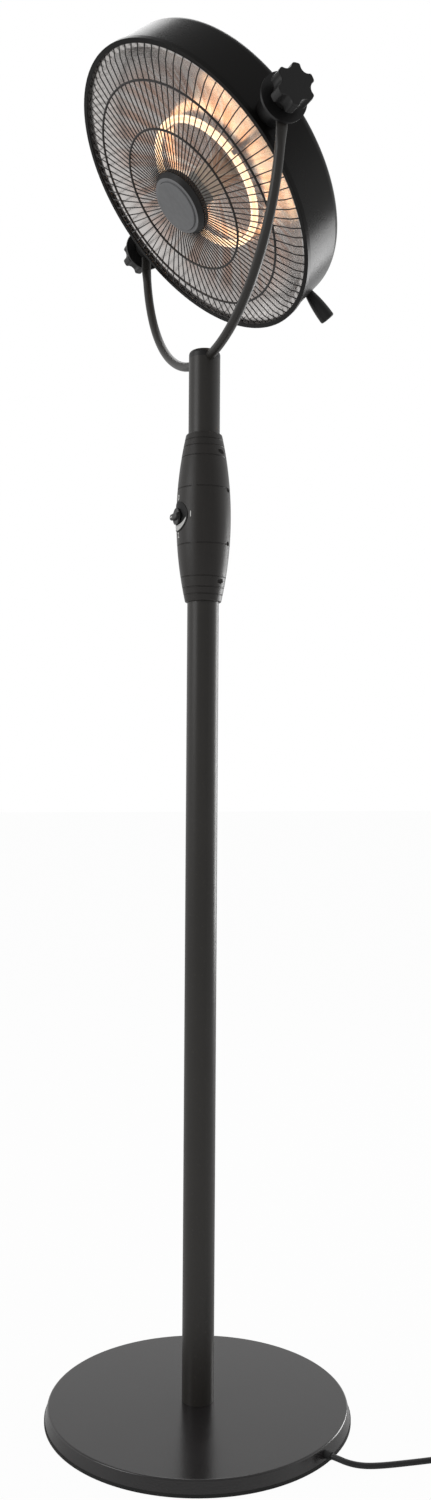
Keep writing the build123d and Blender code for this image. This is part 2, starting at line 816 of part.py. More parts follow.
with BuildPart() as reflector:
    with BuildSketch(head_section):
        with BuildLine():
            Line((0, reflector_floor), (reflector_floor_radius, reflector_floor))
            ThreePointArc(
                (reflector_floor_radius, reflector_floor),
                reflector_mid,
                (reflector_mouth_radius, flange_top),
            )
            Polyline(
                (reflector_mouth_radius, flange_top),
                (flange_radius, flange_top),
                (flange_radius, flange_top - under),
                (reflector_mouth_radius + under, flange_top - under),
            )
            ThreePointArc(
                (reflector_mouth_radius + under, flange_top - under),
                (reflector_mid[0] + under / 4, reflector_mid[1] - under),
                (reflector_floor_radius + under / 4, reflector_floor - under),
            )
            Polyline(
                (reflector_floor_radius + under / 4, reflector_floor - under),
                (0, reflector_floor - under),
                (0, reflector_floor),
            )
        make_face()
    revolve(axis=head_axis)
    with BuildSketch(head.offset(reflector_floor)):
        with Locations(*mount_places):
            Circle(mount_screw_radius)
    extrude(amount=-under, mode=Mode.SUBTRACT)

# ---- Heater head: grille ----
with BuildPart() as grille_hoop:
    with Locations(head.offset(hoop_height)):
        Torus(hoop_radius, frame_wire_radius)

cap_side = cap_radius - wire_bite
wire_points = [
    (hoop_radius - wire_inset, hoop_height),
    (kink_radius, head_front + kink_height),
    (dome_radius, head_front + dome_height),
    (cap_side, head_front + wire_end_height),
]

with BuildPart() as spoke:
    with BuildLine(Plane.XZ) as spoke_line:
        FilletPolyline(*wire_points, radius=[kink_bend, dome_bend])
    with BuildSketch(Plane(origin=spoke_line.line @ 0, z_dir=spoke_line.line % 0)):
        Circle(wire_radius)
    sweep()

with BuildPart() as grille_spokes:
    with Locations(head):
        with PolarLocations(0, wire_count):
            add(spoke.part, clean=False)


def spoke_height(radius):
    """The spokes' middle height above the pivot at a distance from the head's axis."""
    outer, inner = (wire_points[1], wire_points[2]), (wire_points[2], wire_points[3])
    start, end = outer if radius > dome_radius else inner
    share = (radius - start[0]) / (end[0] - start[0])
    return start[1] + share * (end[1] - start[1])


ring_lift = wire_radius + ring_wire_radius - ring_bite

with BuildPart() as grille_outer_ring:
    with Locations(head.offset(spoke_height(outer_ring_radius) + ring_lift)):
        Torus(outer_ring_radius, ring_wire_radius)

with BuildPart() as grille_inner_ring:
    with Locations(head.offset(spoke_height(inner_ring_radius) + ring_lift)):
        Torus(inner_ring_radius, ring_wire_radius)

cap_back = head_front + wire_end_height - cap_behind
cap_front = cap_back + cap_depth
cap_seat = cap_front - cap_recess
cap_seat_radius = cap_radius - cap_rim

with BuildPart() as cap_bezel:
    with BuildSketch(head_section):
        Polygon(
            (0, cap_back),
            (cap_radius, cap_back),
            (cap_radius, cap_front - cap_slope_depth),
            (cap_radius - cap_slope_width, cap_front),
            (0, cap_front),
            align=None,
        )
    revolve(axis=head_axis)
    with BuildSketch(head.offset(cap_seat)):
        Circle(cap_seat_radius)
    extrude(amount=cap_recess, mode=Mode.SUBTRACT)
    with BuildSketch(head.offset(cap_back)):
        Circle(cap_seat_radius - cap_floor)
    extrude(amount=cap_seat - cap_floor - cap_back, mode=Mode.SUBTRACT)

with BuildPart() as cap_disc:
    with BuildSketch(head.offset(cap_seat)):
        Circle(cap_seat_radius - cap_disc_gap)
    extrude(amount=cap_disc_height)
    fillet(edges().sort_by(head_axis)[-1], cap_disc_round)

# ---- Heater head: lamp ----
bend_centre_y = lamp_leg_offset + lamp_bend
bend_reach = lamp_ring_radius - lamp_bend
bend_centre_x = -sqrt(bend_reach**2 - bend_centre_y**2)
join_angle = atan2(bend_centre_y, bend_centre_x)
join = (lamp_ring_radius * cos(join_angle), lamp_ring_radius * sin(join_angle))
half_way = (3 * pi / 2 + join_angle) / 2
bend_mid = (
    bend_centre_x + lamp_bend * cos(half_way),
    bend_centre_y + lamp_bend * sin(half_way),
)

with BuildLine(head) as lamp_line:
    Line((holder_start, lamp_leg_offset), (bend_centre_x, lamp_leg_offset))
    ThreePointArc((bend_centre_x, lamp_leg_offset), bend_mid, join)
    ThreePointArc(join, (lamp_ring_radius, 0), (join[0], -join[1]))
    ThreePointArc(
        (join[0], -join[1]), (bend_mid[0], -bend_mid[1]), (bend_centre_x, -lamp_leg_offset)
    )
    Line((bend_centre_x, -lamp_leg_offset), (holder_start, -lamp_leg_offset))

lamp_end_plane = Plane(origin=lamp_line.line @ 0, z_dir=lamp_line.line % 0)

with BuildPart() as lamp_tube:
    with BuildSketch(lamp_end_plane):
        Circle(lamp_tube_radius)
        Circle(lamp_tube_radius - lamp_tube_wall, mode=Mode.SUBTRACT)
    sweep(path=lamp_line.line)

with BuildPart() as lamp_filament:
    with BuildSketch(lamp_end_plane):
        Circle(filament_radius)
    sweep(path=lamp_line.line)

with BuildPart() as lamp_holder:
    with BuildSketch(head.offset(reflector_floor)):
        with Locations((holder_start, 0)):
            Rectangle(holder_length, holder_width, align=(Align.MIN, Align.CENTER))
    extrude(amount=holder_top - reflector_floor)
    fillet(edges().filter_by(Axis(pivot, head.z_dir)), 3)
    with BuildSketch(head.offset(reflector_floor)):
        with Locations(*mount_places):
            Circle(mount_screw_radius)
    extrude(amount=(holder_top - reflector_floor) / 2, mode=Mode.SUBTRACT)

with BuildPart() as under_reflector:
    with BuildSketch(head_section):
        with BuildLine():
            ThreePointArc(
                (reflector_floor_radius, reflector_floor),
                reflector_mid,
                (reflector_mouth_radius, flange_top),
            )
            Polyline(
                (reflector_mouth_radius, flange_top),
                (reflector_mouth_radius, -head_back),
                (0, -head_back),
                (0, reflector_floor),
                (reflector_floor_radius, reflector_floor),
            )
        make_face()
    revolve(axis=head_axis)

with BuildPart() as lamp_clips:
    with BuildSketch(head.offset(-head_back)):
        with PolarLocations(lamp_ring_radius, 3, -90, 180, endpoint=True):
            Rectangle(clip_length, clip_width)
    extrude(amount=head_back + lamp_tube_radius / 2)
    with Locations(head):
        Torus(lamp_ring_radius, lamp_tube_radius, mode=Mode.SUBTRACT)
    add(under_reflector.part, mode=Mode.SUBTRACT)

with BuildPart() as lamp_mount_spacers:
    with BuildSketch(head.offset(drum_wall - head_back)):
        with Locations(*mount_places):
            Circle(mount_spacer_radius)
            Circle(mount_screw_radius, mode=Mode.SUBTRACT)
    extrude(amount=reflector_floor - under + head_back - drum_wall)

with BuildPart() as lamp_mount_screws:
    with BuildSketch(head.offset(-head_back)):
        with Locations(*mount_places):
            Circle(mount_screw_radius)
    extrude(amount=head_back + (reflector_floor + holder_top) / 2)
    with BuildSketch(head.offset(-head_back)):
        with Locations(*mount_places):
            Circle(mount_screw_head)
    extrude(amount=-mount_screw_head_height)

# ---- Heater head: pivots ----
with BuildPart() as pivot_spacer_right:
    with BuildSketch(across(head_radius - spacer_radius)):
        Circle(spacer_radius)
        Circle(stud_radius, mode=Mode.SUBTRACT)
    extrude(amount=spacer_face - head_radius + spacer_radius)
    add(drum_outside.part, mode=Mode.SUBTRACT)

with BuildPart() as pivot_stud_right:
    with BuildSketch(across(pivot_wall - stud_head_height)):
        Circle(stud_head_radius)
    extrude(amount=2 * stud_head_height)
    add(drum_space.part, mode=Mode.INTERSECT)
    with BuildSketch(across(pivot_wall - stud_head_height)):
        Circle(stud_radius)
    extrude(amount=stud_end - pivot_wall + stud_head_height)

with BuildPart() as clamp_disc_right:
    with BuildSketch(across(disc_start)):
        Circle(disc_radius)
        Circle(stud_radius, mode=Mode.SUBTRACT)
    extrude(amount=disc_thickness)
    fillet(edges().sort_by(Axis.X)[-1], disc_round)

with BuildPart() as star_knob_right:
    with BuildSketch(across(star_start)):
        Circle(star_hub_radius)
    extrude(amount=star_hub_length)
    with BuildSketch(across(star_start + star_hub_length)):
        Circle(star_tip_radius)
        with PolarLocations(star_flute_circle, star_lobes):
            Circle(star_flute_radius, mode=Mode.SUBTRACT)
        fillet(vertices(), 3)
    extrude(amount=star_thickness)
    fillet(faces().sort_by(Axis.X)[-1].edges(), star_round)
    with BuildSketch(across(star_start)):
        Circle(stud_radius + turning_gap)
    extrude(amount=stud_end - star_start + star_spare, mode=Mode.SUBTRACT)

with BuildPart() as pivot_spacer_left:
    mirror(pivot_spacer_right.part, about=Plane.YZ)

with BuildPart() as pivot_stud_left:
    mirror(pivot_stud_right.part, about=Plane.YZ)

with BuildPart() as clamp_disc_left:
    mirror(clamp_disc_right.part, about=Plane.YZ)

with BuildPart() as star_knob_left:
    mirror(star_knob_right.part, about=Plane.YZ)

# ---- Heater head: tilt handle ----
handle_section = Plane(origin=handle_start, x_dir=head.z_dir, z_dir=(1, 0, 0))
handle_axis = Axis(handle_start, -head.y_dir)
handle_drum = drum_radius_at(handle_offset)
handle_root = handle_drum - handle_neck
handle_tip = handle_drum + handle_length

with BuildPart() as tilt_handle:
    with BuildSketch(handle_section):
        with BuildLine():
            Polyline(
                (handle_neck, handle_root),
                (0, handle_root),
                (0, handle_tip),
                (handle_end, handle_tip),
            )
            ThreePointArc(
                (handle_end, handle_tip),
                (handle_waist, (handle_root + handle_tip) / 2),
                (handle_neck, handle_root),
            )
        make_face()
    revolve(axis=handle_axis)
    fillet(edges().sort_by(handle_axis)[-1], handle_round)
    add(drum_outside.part, mode=Mode.SUBTRACT)
    with BuildSketch(handle_out):
        Circle(handle_screw_radius)
    extrude(amount=handle_drum + handle_screw_grip, mode=Mode.SUBTRACT)

handle_head_start = handle_drum - drum_wall - handle_screw_head_height

with BuildPart() as handle_screw:
    with BuildSketch(handle_out.offset(handle_head_start)):
        Circle(handle_screw_head)
    extrude(amount=2 * handle_screw_head_height)
    add(drum_space.part, mode=Mode.INTERSECT)
    with BuildSketch(handle_out.offset(handle_head_start)):
        Circle(handle_screw_radius)
    extrude(amount=handle_drum + handle_screw_grip - handle_head_start)

# ---- Mains lead outside the base ----


def bends(points):
    """A radius for every corner of a route, as large as its two runs allow."""
    radii = []
    for before, here, after in zip(points, points[1:], points[2:]):
        turn = (Vector(here) - Vector(before)).get_angle(Vector(after) - Vector(here))
        shorter = min(dist(before, here), dist(here, after))
        radii.append(0.45 * shorter / tan(radians(turn) / 2))
    return radii


joint = Vector(lead_direction) * cord_joint_radius
run_points = [
    (joint.X, joint.Y, cord_height),
    (183.6, 106.0, cord_height),
    (196.0, 116.5, 7.2),
    (204.3, 133.5, 4.4),
    (210.3, 156.5, cord_radius),
    (216.5, 187.0, cord_radius),
    (222.0, 217.0, cord_radius),
    (coil_start[0], 244.0, cord_radius),
    (coil_start[0], coil_start[1], cord_radius),
]
tail_height = cord_radius + coil_pitch
plug_height = plug_body_radius
tail_points = [
    (coil_start[0], coil_start[1], tail_height),
    (coil_start[0], coil_start[1] + 18.0, tail_height),
    (coil_start[0] - 7.7, coil_start[1] + 36.5, tail_height + 2.1),
    (coil_start[0] - 21.8, coil_start[1] + 50.6, tail_height + 4.5),
    (coil_start[0] - 40.3, coil_start[1] + 58.3, tail_height + 6.6),
    (coil_start[0] - 58.3, coil_start[1] + 58.3, plug_height),
]

# The coil starts and ends on its left side and turns clockwise: half turns that shrink by
# half a pitch, one tilted half turn that climbs a layer, and half turns that grow again.
shrinking = [coil_radius - coil_pitch / 2 * k for k in range(coil_half_turns)]
climb_radius = coil_radius - coil_pitch / 2 * coil_half_turns
half_turns = [(radius, 0) for radius in shrinking] + [(climb_radius, coil_pitch)]
half_turns += [(radius, 0) for radius in shrinking[::-1][:-1]]
coil_arcs = []
place = Vector(coil_start[0], coil_start[1], cord_radius)
for number, (radius, climb) in enumerate(half_turns):
    side = 1 if number % 2 == 0 else -1
    after = place + Vector(side * 2 * radius, 0, climb)
    bulge = sqrt(radius**2 + climb**2 / 4)
    middle = (place + after) / 2 + Vector(0, side * bulge, 0)
    coil_arcs.append((place, middle, after))
    place = after


with BuildPart() as cord_run:
    with BuildLine() as run_line:
        FilletPolyline(*run_points, radius=bends(run_points))
    with BuildSketch(Plane(origin=run_line.line @ 0, z_dir=run_line.line % 0)):
        Circle(cord_radius)
    sweep()

with BuildPart() as cord_coil:
    with BuildLine() as coil_line:
        for arc in coil_arcs:
            ThreePointArc(*arc)
    with BuildSketch(Plane(origin=coil_line.line @ 0, z_dir=coil_line.line % 0)):
        Circle(cord_radius)
    sweep()

with BuildPart() as cord_tail:
    with BuildLine() as tail_line:
        FilletPolyline(*tail_points, radius=bends(tail_points))
    with BuildSketch(Plane(origin=tail_line.line @ 0, z_dir=tail_line.line % 0)):
        Circle(cord_radius)
    sweep()

plug_plane = Plane(origin=tail_points[-1], x_dir=(0, 1, 0), z_dir=tail_line.line % 1)
plug_axis = Axis(plug_plane.origin, plug_plane.z_dir)
plug_face = plug_neck_length + plug_body_length
pin_places = [(pin_spacing / 2, 0), (-pin_spacing / 2, 0)]

with BuildPart() as plug_body:
    with BuildSketch(plug_plane.offset(plug_neck_length)):
        Circle(plug_body_radius)
    extrude(amount=plug_body_length)
    fillet(edges().group_by(plug_axis)[0], plug_round)
    fillet(edges().group_by(plug_axis)[-1], plug_edge)
    with BuildSketch(plug_plane):
        Circle(plug_neck_radius)
    with BuildSketch(plug_plane.offset(plug_neck_length)):
        Circle(plug_body_radius - plug_round)
    loft()
    with BuildSketch(plug_plane.offset(plug_face - pin_root)):
        with Locations(*pin_places):
            Circle(pin_radius)
    extrude(amount=pin_root, mode=Mode.SUBTRACT)

with BuildPart() as plug_pins:
    with BuildSketch(plug_plane.offset(plug_face - pin_root)):
        with Locations(*pin_places):
            Circle(pin_radius)
    extrude(amount=pin_root + pin_length)
    fillet(edges().group_by(plug_axis)[-1], plug_edge)

# ---- Checks that the source prints ----
coil_wire = coil_line.wire()
coil_length = coil_wire.length
steps = int(coil_length / cord_radius)
spots = [coil_wire @ (step / steps) for step in range(steps + 1)]
apart = int(4 * cord_radius * steps / coil_length) + 1
least_gap = min(
    (spots[here] - spots[there]).length
    for here in range(steps + 1)
    for there in range(here + apart, steps + 1)
)
print("cord run radii", [round(radius, 1) for radius in bends(run_points)])
print("cord tail radii", [round(radius, 1) for radius in bends(tail_points)])
print("coil least gap", round(least_gap - 2 * cord_radius, 2))
for name, piece, line in (
    ("cord_run", cord_run, run_line),
    ("cord_coil", cord_coil, coil_line),
    ("cord_tail", cord_tail, tail_line),
):
    length = line.wire().length
    share = piece.part.volume / (pi * cord_radius**2 * length)
    print(name, "length", round(length, 1), "volume share", round(share, 4))

# ---- The finished pieces ----
pieces = {
    "edge_ring": edge_ring,
    "base_plate": base_plate,
    "base_plate_screws": base_plate_screws,
    "ballast": ballast,
    "base_cover": base_cover,
    "cord_gland": cord_gland,
    "pole_foot_plug": pole_foot_plug,
    "pole_washer": pole_washer,
    "pole_bolt": pole_bolt,
    "pole_tube": pole_tube,
    "pole_coupler": pole_coupler,
    "upper_tube": upper_tube,
    "yoke_saddle": yoke_saddle,
    "tube_cap": tube_cap,
    "clamp_screw": clamp_screw,
    "yoke": yoke,
    "housing_front": housing_front,
    "housing_rear": housing_rear,
    "housing_screws": housing_screws,
    "switch_bracket": switch_bracket,
    "rotary_switch": rotary_switch,
    "switch_screws": switch_screws,
    "terminal_block": terminal_block,
    "dial_plate": dial_plate,
    "selector_knob": selector_knob,
    "selector_shaft": selector_shaft,
    "supply_lead": supply_lead,
    "drum_shell": drum_shell,
    "rim_bezel": rim_bezel,
    "reflector": reflector,
    "grille_hoop": grille_hoop,
    "grille_spokes": grille_spokes,
    "grille_outer_ring": grille_outer_ring,
    "grille_inner_ring": grille_inner_ring,
    "cap_bezel": cap_bezel,
    "cap_disc": cap_disc,
    "lamp_tube": lamp_tube,
    "lamp_filament": lamp_filament,
    "lamp_holder": lamp_holder,
    "lamp_clips": lamp_clips,
    "lamp_mount_spacers": lamp_mount_spacers,
    "lamp_mount_screws": lamp_mount_screws,
    "pivot_spacer_right": pivot_spacer_right,
    "pivot_spacer_left": pivot_spacer_left,
    "pivot_stud_right": pivot_stud_right,
    "pivot_stud_left": pivot_stud_left,
    "clamp_disc_right": clamp_disc_right,
    "clamp_disc_left": clamp_disc_left,
    "star_knob_right": star_knob_right,
    "star_knob_left": star_knob_left,
    "tilt_handle": tilt_handle,
    "handle_screw": handle_screw,
    "cord_run": cord_run,
    "cord_coil": cord_coil,
    "cord_tail": cord_tail,
    "plug_body": plug_body,
    "plug_pins": plug_pins,
}
os.makedirs("parts", exist_ok=True)
for name, piece in pieces.items():
    piece.part.label = name
    export_step(piece.part, f"parts/{name}.step")
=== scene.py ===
"""Infrared patio heater tower: its looks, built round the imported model.

Lengths are in metres in the shared frame: +Z up, the floor at z = 0, the pole on the Z axis,
the head and the dial facing -Y, and the head tilting about an axis along X.
"""

import logging
import math
from collections.abc import Sequence
from dataclasses import dataclass
from enum import Enum

import bmesh
import bpy
from mathutils import Matrix, Vector


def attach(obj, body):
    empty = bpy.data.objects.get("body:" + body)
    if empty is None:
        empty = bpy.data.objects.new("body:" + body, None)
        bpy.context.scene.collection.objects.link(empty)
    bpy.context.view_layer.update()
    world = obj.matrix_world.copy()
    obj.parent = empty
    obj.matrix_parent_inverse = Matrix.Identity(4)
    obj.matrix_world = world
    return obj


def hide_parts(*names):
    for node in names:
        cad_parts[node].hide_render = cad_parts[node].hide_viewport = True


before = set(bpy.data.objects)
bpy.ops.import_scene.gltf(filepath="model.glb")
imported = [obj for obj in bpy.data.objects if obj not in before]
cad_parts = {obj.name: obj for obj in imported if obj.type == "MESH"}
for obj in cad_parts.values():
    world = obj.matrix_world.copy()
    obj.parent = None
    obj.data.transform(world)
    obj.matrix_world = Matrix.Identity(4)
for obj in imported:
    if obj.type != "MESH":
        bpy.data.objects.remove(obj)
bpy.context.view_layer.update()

log = logging.getLogger("heater")

Colour = tuple[float, float, float]
Point = tuple[float, float, float]


class Body(Enum):
    """The bodies that new pieces ride on."""

    STAND = "stand"
    SELECTOR = "selector"
    HEAD = "head"


class Slot(Enum):
    """The record's material slots, passed along with new pieces; nothing here reads them."""

    STEEL = "steel"
    BLACK_STEEL = "black_steel"
    GUARD_WIRE = "guard_wire"
    HOT_WIRE = "hot_wire"
    DIAL_PRINT = "dial_print"
    CORD_JACKET = "cord_jacket"
    PLUG_PLASTIC = "plug_plastic"


# ---- Node trees ----


@dataclass(frozen=True)
class Signal:
    """A node's output, used in expressions that add the nodes they need."""

    maker: "Maker"
    socket: bpy.types.NodeSocket

    def worked(self, operation: str, *values: object, out: int = 0) -> "Signal":
        """Add the Math or Vector Math node of an operation.

        Args:
            operation: The node's operation.
            values: The node's inputs in order, as signals, numbers or vectors.
            out: The wanted output, which is 1 where vectors give a number.

        Returns:
            The wanted output.
        """
        kind = "ShaderNodeMath"
        if any(isinstance(v, Signal) and v.socket.type == "VECTOR" for v in values):
            kind = "ShaderNodeVectorMath"
            values = [(v, v, v) if isinstance(v, (int, float)) else v for v in values]
        return self.maker.node(kind, {"operation": operation}, dict(enumerate(values)), out)

    def __add__(self, other: object) -> "Signal":
        """Return this signal plus another."""
        return self.worked("ADD", self, other)

    __radd__ = __add__

    def __sub__(self, other: object) -> "Signal":
        """Return this signal minus another."""
        return self.worked("SUBTRACT", self, other)

    def __rsub__(self, other: object) -> "Signal":
        """Return a number minus this signal."""
        return self.worked("SUBTRACT", other, self)

    def __mul__(self, other: object) -> "Signal":
        """Return this signal times another."""
        return self.worked("MULTIPLY", self, other)

    __rmul__ = __mul__

    def __truediv__(self, other: object) -> "Signal":
        """Return this signal divided by another."""
        return self.worked("DIVIDE", self, other)

    def __rtruediv__(self, other: object) -> "Signal":
        """Return a number divided by this signal."""
        return self.worked("DIVIDE", other, self)

    def larger(self, other: object) -> "Signal":
        """Return the larger of this signal and another."""
        return self.worked("MAXIMUM", self, other)

    def sine(self) -> "Signal":
        """Return the sine of this signal."""
        return self.worked("SINE", self)

    def cosine(self) -> "Signal":
        """Return the cosine of this signal."""
        return self.worked("COSINE", self)


class Maker:
    """Adds nodes to one node tree and feeds their sockets."""

    def __init__(self, tree: bpy.types.NodeTree) -> None:
        """Keep the tree that nodes are added to."""
        self.tree = tree

    def node(
        self,
        kind: str,
        settings: dict[str, object] | None = None,
        sockets: dict[int | str, object] | None = None,
        out: int | str = 0,
    ) -> Signal:
        """Add one node.

        Args:
            kind: The node's type.
            settings: Its properties, which are set first.
            sockets: Values or signals for its inputs, by index or name.
            out: The output that is wanted, by index or name.

        Returns:
            The wanted output.
        """
        made = self.tree.nodes.new(kind)
        for name, value in (settings or {}).items():
            setattr(made, name, value)
        for key, value in (sockets or {}).items():
            self.feed(made.inputs[key], value)
        return Signal(self, made.outputs[out])

    def feed(self, socket: bpy.types.NodeSocket, value: object) -> None:
        """Give an input its value or link.

        Args:
            socket: The input.
            value: A signal, a number, a colour, a vector or a data block.
        """
        if isinstance(value, Signal):
            self.tree.links.new(value.socket, socket)
        elif socket.type == "RGBA" and len(value) == 3:
            socket.default_value = (*value, 1.0)
        else:
            socket.default_value = value

    def vector(self, x: object = 0.0, y: object = 0.0, z: object = 0.0) -> Signal:
        """Return a vector of three numbers or signals."""
        return self.node("ShaderNodeCombineXYZ", None, {0: x, 1: y, 2: z})

    def rise(
        self, value: Signal, start: float, end: float, low: float = 0.0, high: float = 1.0
    ) -> Signal:
        """Return a value that goes smoothly from low at a start to high at an end."""
        sockets = {0: value, 1: start, 2: end, 3: low, 4: high}
        return self.node("ShaderNodeMapRange", {"interpolation_type": "SMOOTHSTEP"}, sockets)

    def ray(self, kind: str) -> Signal:
        """Return 1 for one kind of ray and 0 for the rest."""
        return self.node("ShaderNodeLightPath", out=kind)

    def direct(self) -> Signal:
        """Return 1 for what is seen straight or through glass, and 0 for the rest."""
        return self.ray("Is Camera Ray").larger(self.ray("Is Transmission Ray"))


class ShaderMaker(Maker):
    """A material's tree with its main shader."""

    def __init__(self, name: str) -> None:
        """Make the material.

        Args:
            name: The material's name.
        """
        self.material = bpy.data.materials.new(name)
        self.material.use_nodes = True
        super().__init__(self.material.node_tree)
        self.shader = self.tree.nodes["Principled BSDF"]

    def shade(self, **values: object) -> None:
        """Feed the main shader; an underscore in a name stands for a space."""
        for name, value in values.items():
            self.feed(self.shader.inputs[name.replace("_", " ")], value)

    def place(
        self, centre: Point = (0, 0, 0), turn: Point = (0, 0, 0), stretch: Point = (1, 1, 1)
    ) -> Signal:
        """Return coordinates on the piece, in metres.

        Args:
            centre: The place that becomes the origin.
            turn: The angles of the axes that the coordinates follow.
            stretch: How many times longer the pattern is along each axis.

        Returns:
            The coordinates.
        """
        here = self.node("ShaderNodeTexCoord", out="Object")
        sockets = {"Vector": here, "Location": centre, "Rotation": turn, "Scale": stretch}
        return self.node("ShaderNodeMapping", {"vector_type": "TEXTURE"}, sockets)

    def noise(self, place: Signal, size: float, detail: float = 2.0) -> Signal:
        """Return soft random values from 0 to 1, which change over a size."""
        sockets = {"Vector": place, "Scale": 1 / size, "Detail": detail}
        return self.node("ShaderNodeTexNoise", None, sockets)

    def cells(self, place: Signal, size: float) -> Signal:
        """Return the distance to the nearest of many scattered points, in parts of a size."""
        return self.node("ShaderNodeTexVoronoi", None, {"Vector": place, "Scale": 1 / size})

    def between(self, share: Signal, low: object, high: object) -> Signal:
        """Return a mix of two colours, all of the second where the share is 1."""
        settings = {"data_type": "RGBA"}
        return self.node("ShaderNodeMix", settings, {0: share, 6: low, 7: high}, out=2)

    def bump(self, height: Signal, depth: float) -> Signal:
        """Return the surface normal of a relief with a real depth."""
        return self.node("ShaderNodeBump", None, {"Distance": depth, "Height": height})


class GeometryMaker(Maker):
    """A Geometry Nodes tree with named inputs that ends in one plain mesh."""

    def __init__(self, name: str, **inputs: str) -> None:
        """Make the tree and its interface.

        Args:
            name: The tree's name.
            inputs: The kind of each named input; an underscore stands for a space.
        """
        super().__init__(bpy.data.node_groups.new(name, "GeometryNodeTree"))
        for label, kind in {"Geometry": "Geometry", **inputs, "Finish": "Material"}.items():
            self.tree.interface.new_socket(
                label.replace("_", " "), in_out="INPUT", socket_type=f"NodeSocket{kind}"
            )
        self.tree.interface.new_socket(
            "Geometry", in_out="OUTPUT", socket_type="NodeSocketGeometry"
        )
        self.entry = self.tree.nodes.new("NodeGroupInput")

    def given(self, label: str) -> Signal:
        """Return one of the tree's inputs."""
        return Signal(self, self.entry.outputs[label])

    def tube(self, line: Signal, radius: Signal, sides: int) -> Signal:
        """Return a closed tube round a curve.

        Args:
            line: The curve.
            radius: The tube's radius.
            sides: How many sides it has.

        Returns:
            The tube's mesh.
        """
        sockets = {"Resolution": sides, "Radius": radius}
        ring = self.node("GeometryNodeCurvePrimitiveCircle", None, sockets)
        sockets = {"Curve": line, "Profile Curve": ring, "Fill Caps": True}
        return self.node("GeometryNodeCurveToMesh", None, sockets)

    def smoothed(self, geometry: Signal) -> Signal:
        """Return geometry that is shaded smooth."""
        return self.node("GeometryNodeSetShadeSmooth", None, {"Geometry": geometry})

    def lifted(self, geometry: Signal, height: object) -> Signal:
        """Return geometry moved up by a height."""
        sockets = {"Geometry": geometry, "Translation": self.vector(z=height)}
        return self.node("GeometryNodeTransform", None, sockets)

    def end_on_points(self, points: Signal, piece: Signal, **placing: Signal) -> None:
        """End the tree in a copy of a piece on each point, with its rotation or scale."""
        sockets = {"Points": points, "Instance": piece, **placing}
        self.close(self.node("GeometryNodeInstanceOnPoints", None, sockets))

    def close(self, geometry: Signal) -> None:
        """End the tree in real geometry with its finish on it.

        Args:
            geometry: What the tree has made.
        """
        real = self.node("GeometryNodeRealizeInstances", None, {0: geometry})
        sockets = {"Geometry": real, "Material": self.given("Finish")}
        done = self.node("GeometryNodeSetMaterial", None, sockets)
        exit_node = self.tree.nodes.new("NodeGroupOutput")
        self.tree.links.new(done.socket, exit_node.inputs[0])

    def run(self, source: bpy.types.Mesh, **values: object) -> bpy.types.Mesh:
        """Run the tree on a mesh.

        Args:
            source: The mesh that the tree starts from.
            values: The value of each named input.

        Returns:
            The plain mesh that it makes.
        """
        holder = placed("source", source)
        modifier = holder.modifiers.new("tree", "NODES")
        modifier.node_group = self.tree
        for item in self.tree.interface.items_tree:
            label = item.name.replace(" ", "_")
            if item.in_out == "INPUT" and label in values:
                modifier[item.identifier] = values[label]
        mesh = evaluated_mesh(holder)
        holder.modifiers.clear()
        bpy.data.objects.remove(holder)
        return mesh


# ---- Meshes ----


def placed(name: str, data: bpy.types.ID) -> bpy.types.Object:
    """Put a mesh, a curve, a lamp or a camera in the scene.

    Args:
        name: The new object's name.
        data: What it holds.

    Returns:
        The object.
    """
    made = bpy.data.objects.new(name, data)
    bpy.context.scene.collection.objects.link(made)
    return made


def evaluated_mesh(holder: bpy.types.Object) -> bpy.types.Mesh:
    """Return the plain mesh of an object with its modifiers or curve bevel applied."""
    graph = bpy.context.evaluated_depsgraph_get()
    return bpy.data.meshes.new_from_object(holder.evaluated_get(graph), depsgraph=graph)


def line_mesh(points: Sequence[Point], bends: Sequence[float]) -> bpy.types.Mesh:
    """Make a line for a geometry tree to follow.

    Args:
        points: The line's corners in order.
        bends: The radius of the bend at each corner.

    Returns:
        A mesh of edges, with the radii in its attribute "bend".
    """
    mesh = bpy.data.meshes.new("line")
    edges = [(number, number + 1) for number in range(len(points) - 1)]
    mesh.from_pydata(points, edges, [])
    attribute = mesh.attributes.new("bend", "FLOAT", "POINT")
    attribute.data.foreach_set("value", list(bends))
    return mesh


def spot_mesh(points: Sequence[Point]) -> bpy.types.Mesh:
    """Make single points for a geometry tree to put things on.

    Args:
        points: The points.

    Returns:
        A mesh of the points alone.
    """
    mesh = bpy.data.meshes.new("spots")
    mesh.from_pydata(points, [], [])
    return mesh


def finished_mesh(made: bmesh.types.BMesh, name: str) -> bpy.types.Mesh:
    """Turn the faces of mesh code's work outwards and end it.

    Args:
        made: The work, which can't be used afterwards.
        name: The mesh's name.

    Returns:
        The mesh.
    """
    bmesh.ops.recalc_face_normals(made, faces=made.faces)
    mesh = bpy.data.meshes.new(name)
    made.to_mesh(mesh)
    made.free()
    return mesh


def join_rows(made: bmesh.types.BMesh, rows: Sequence[Sequence[bmesh.types.BMVert]]) -> None:
    """Add the faces of a bar between each row of corners and the next.

    Args:
        made: The mesh code's work.
        rows: The rows in order, each a closed ring of corners.
    """
    for before, after in zip(rows, rows[1:]):
        for side in range(len(before)):
            other = (side + 1) % len(before)
            made.faces.new((before[side], before[other], after[other], after[side]))


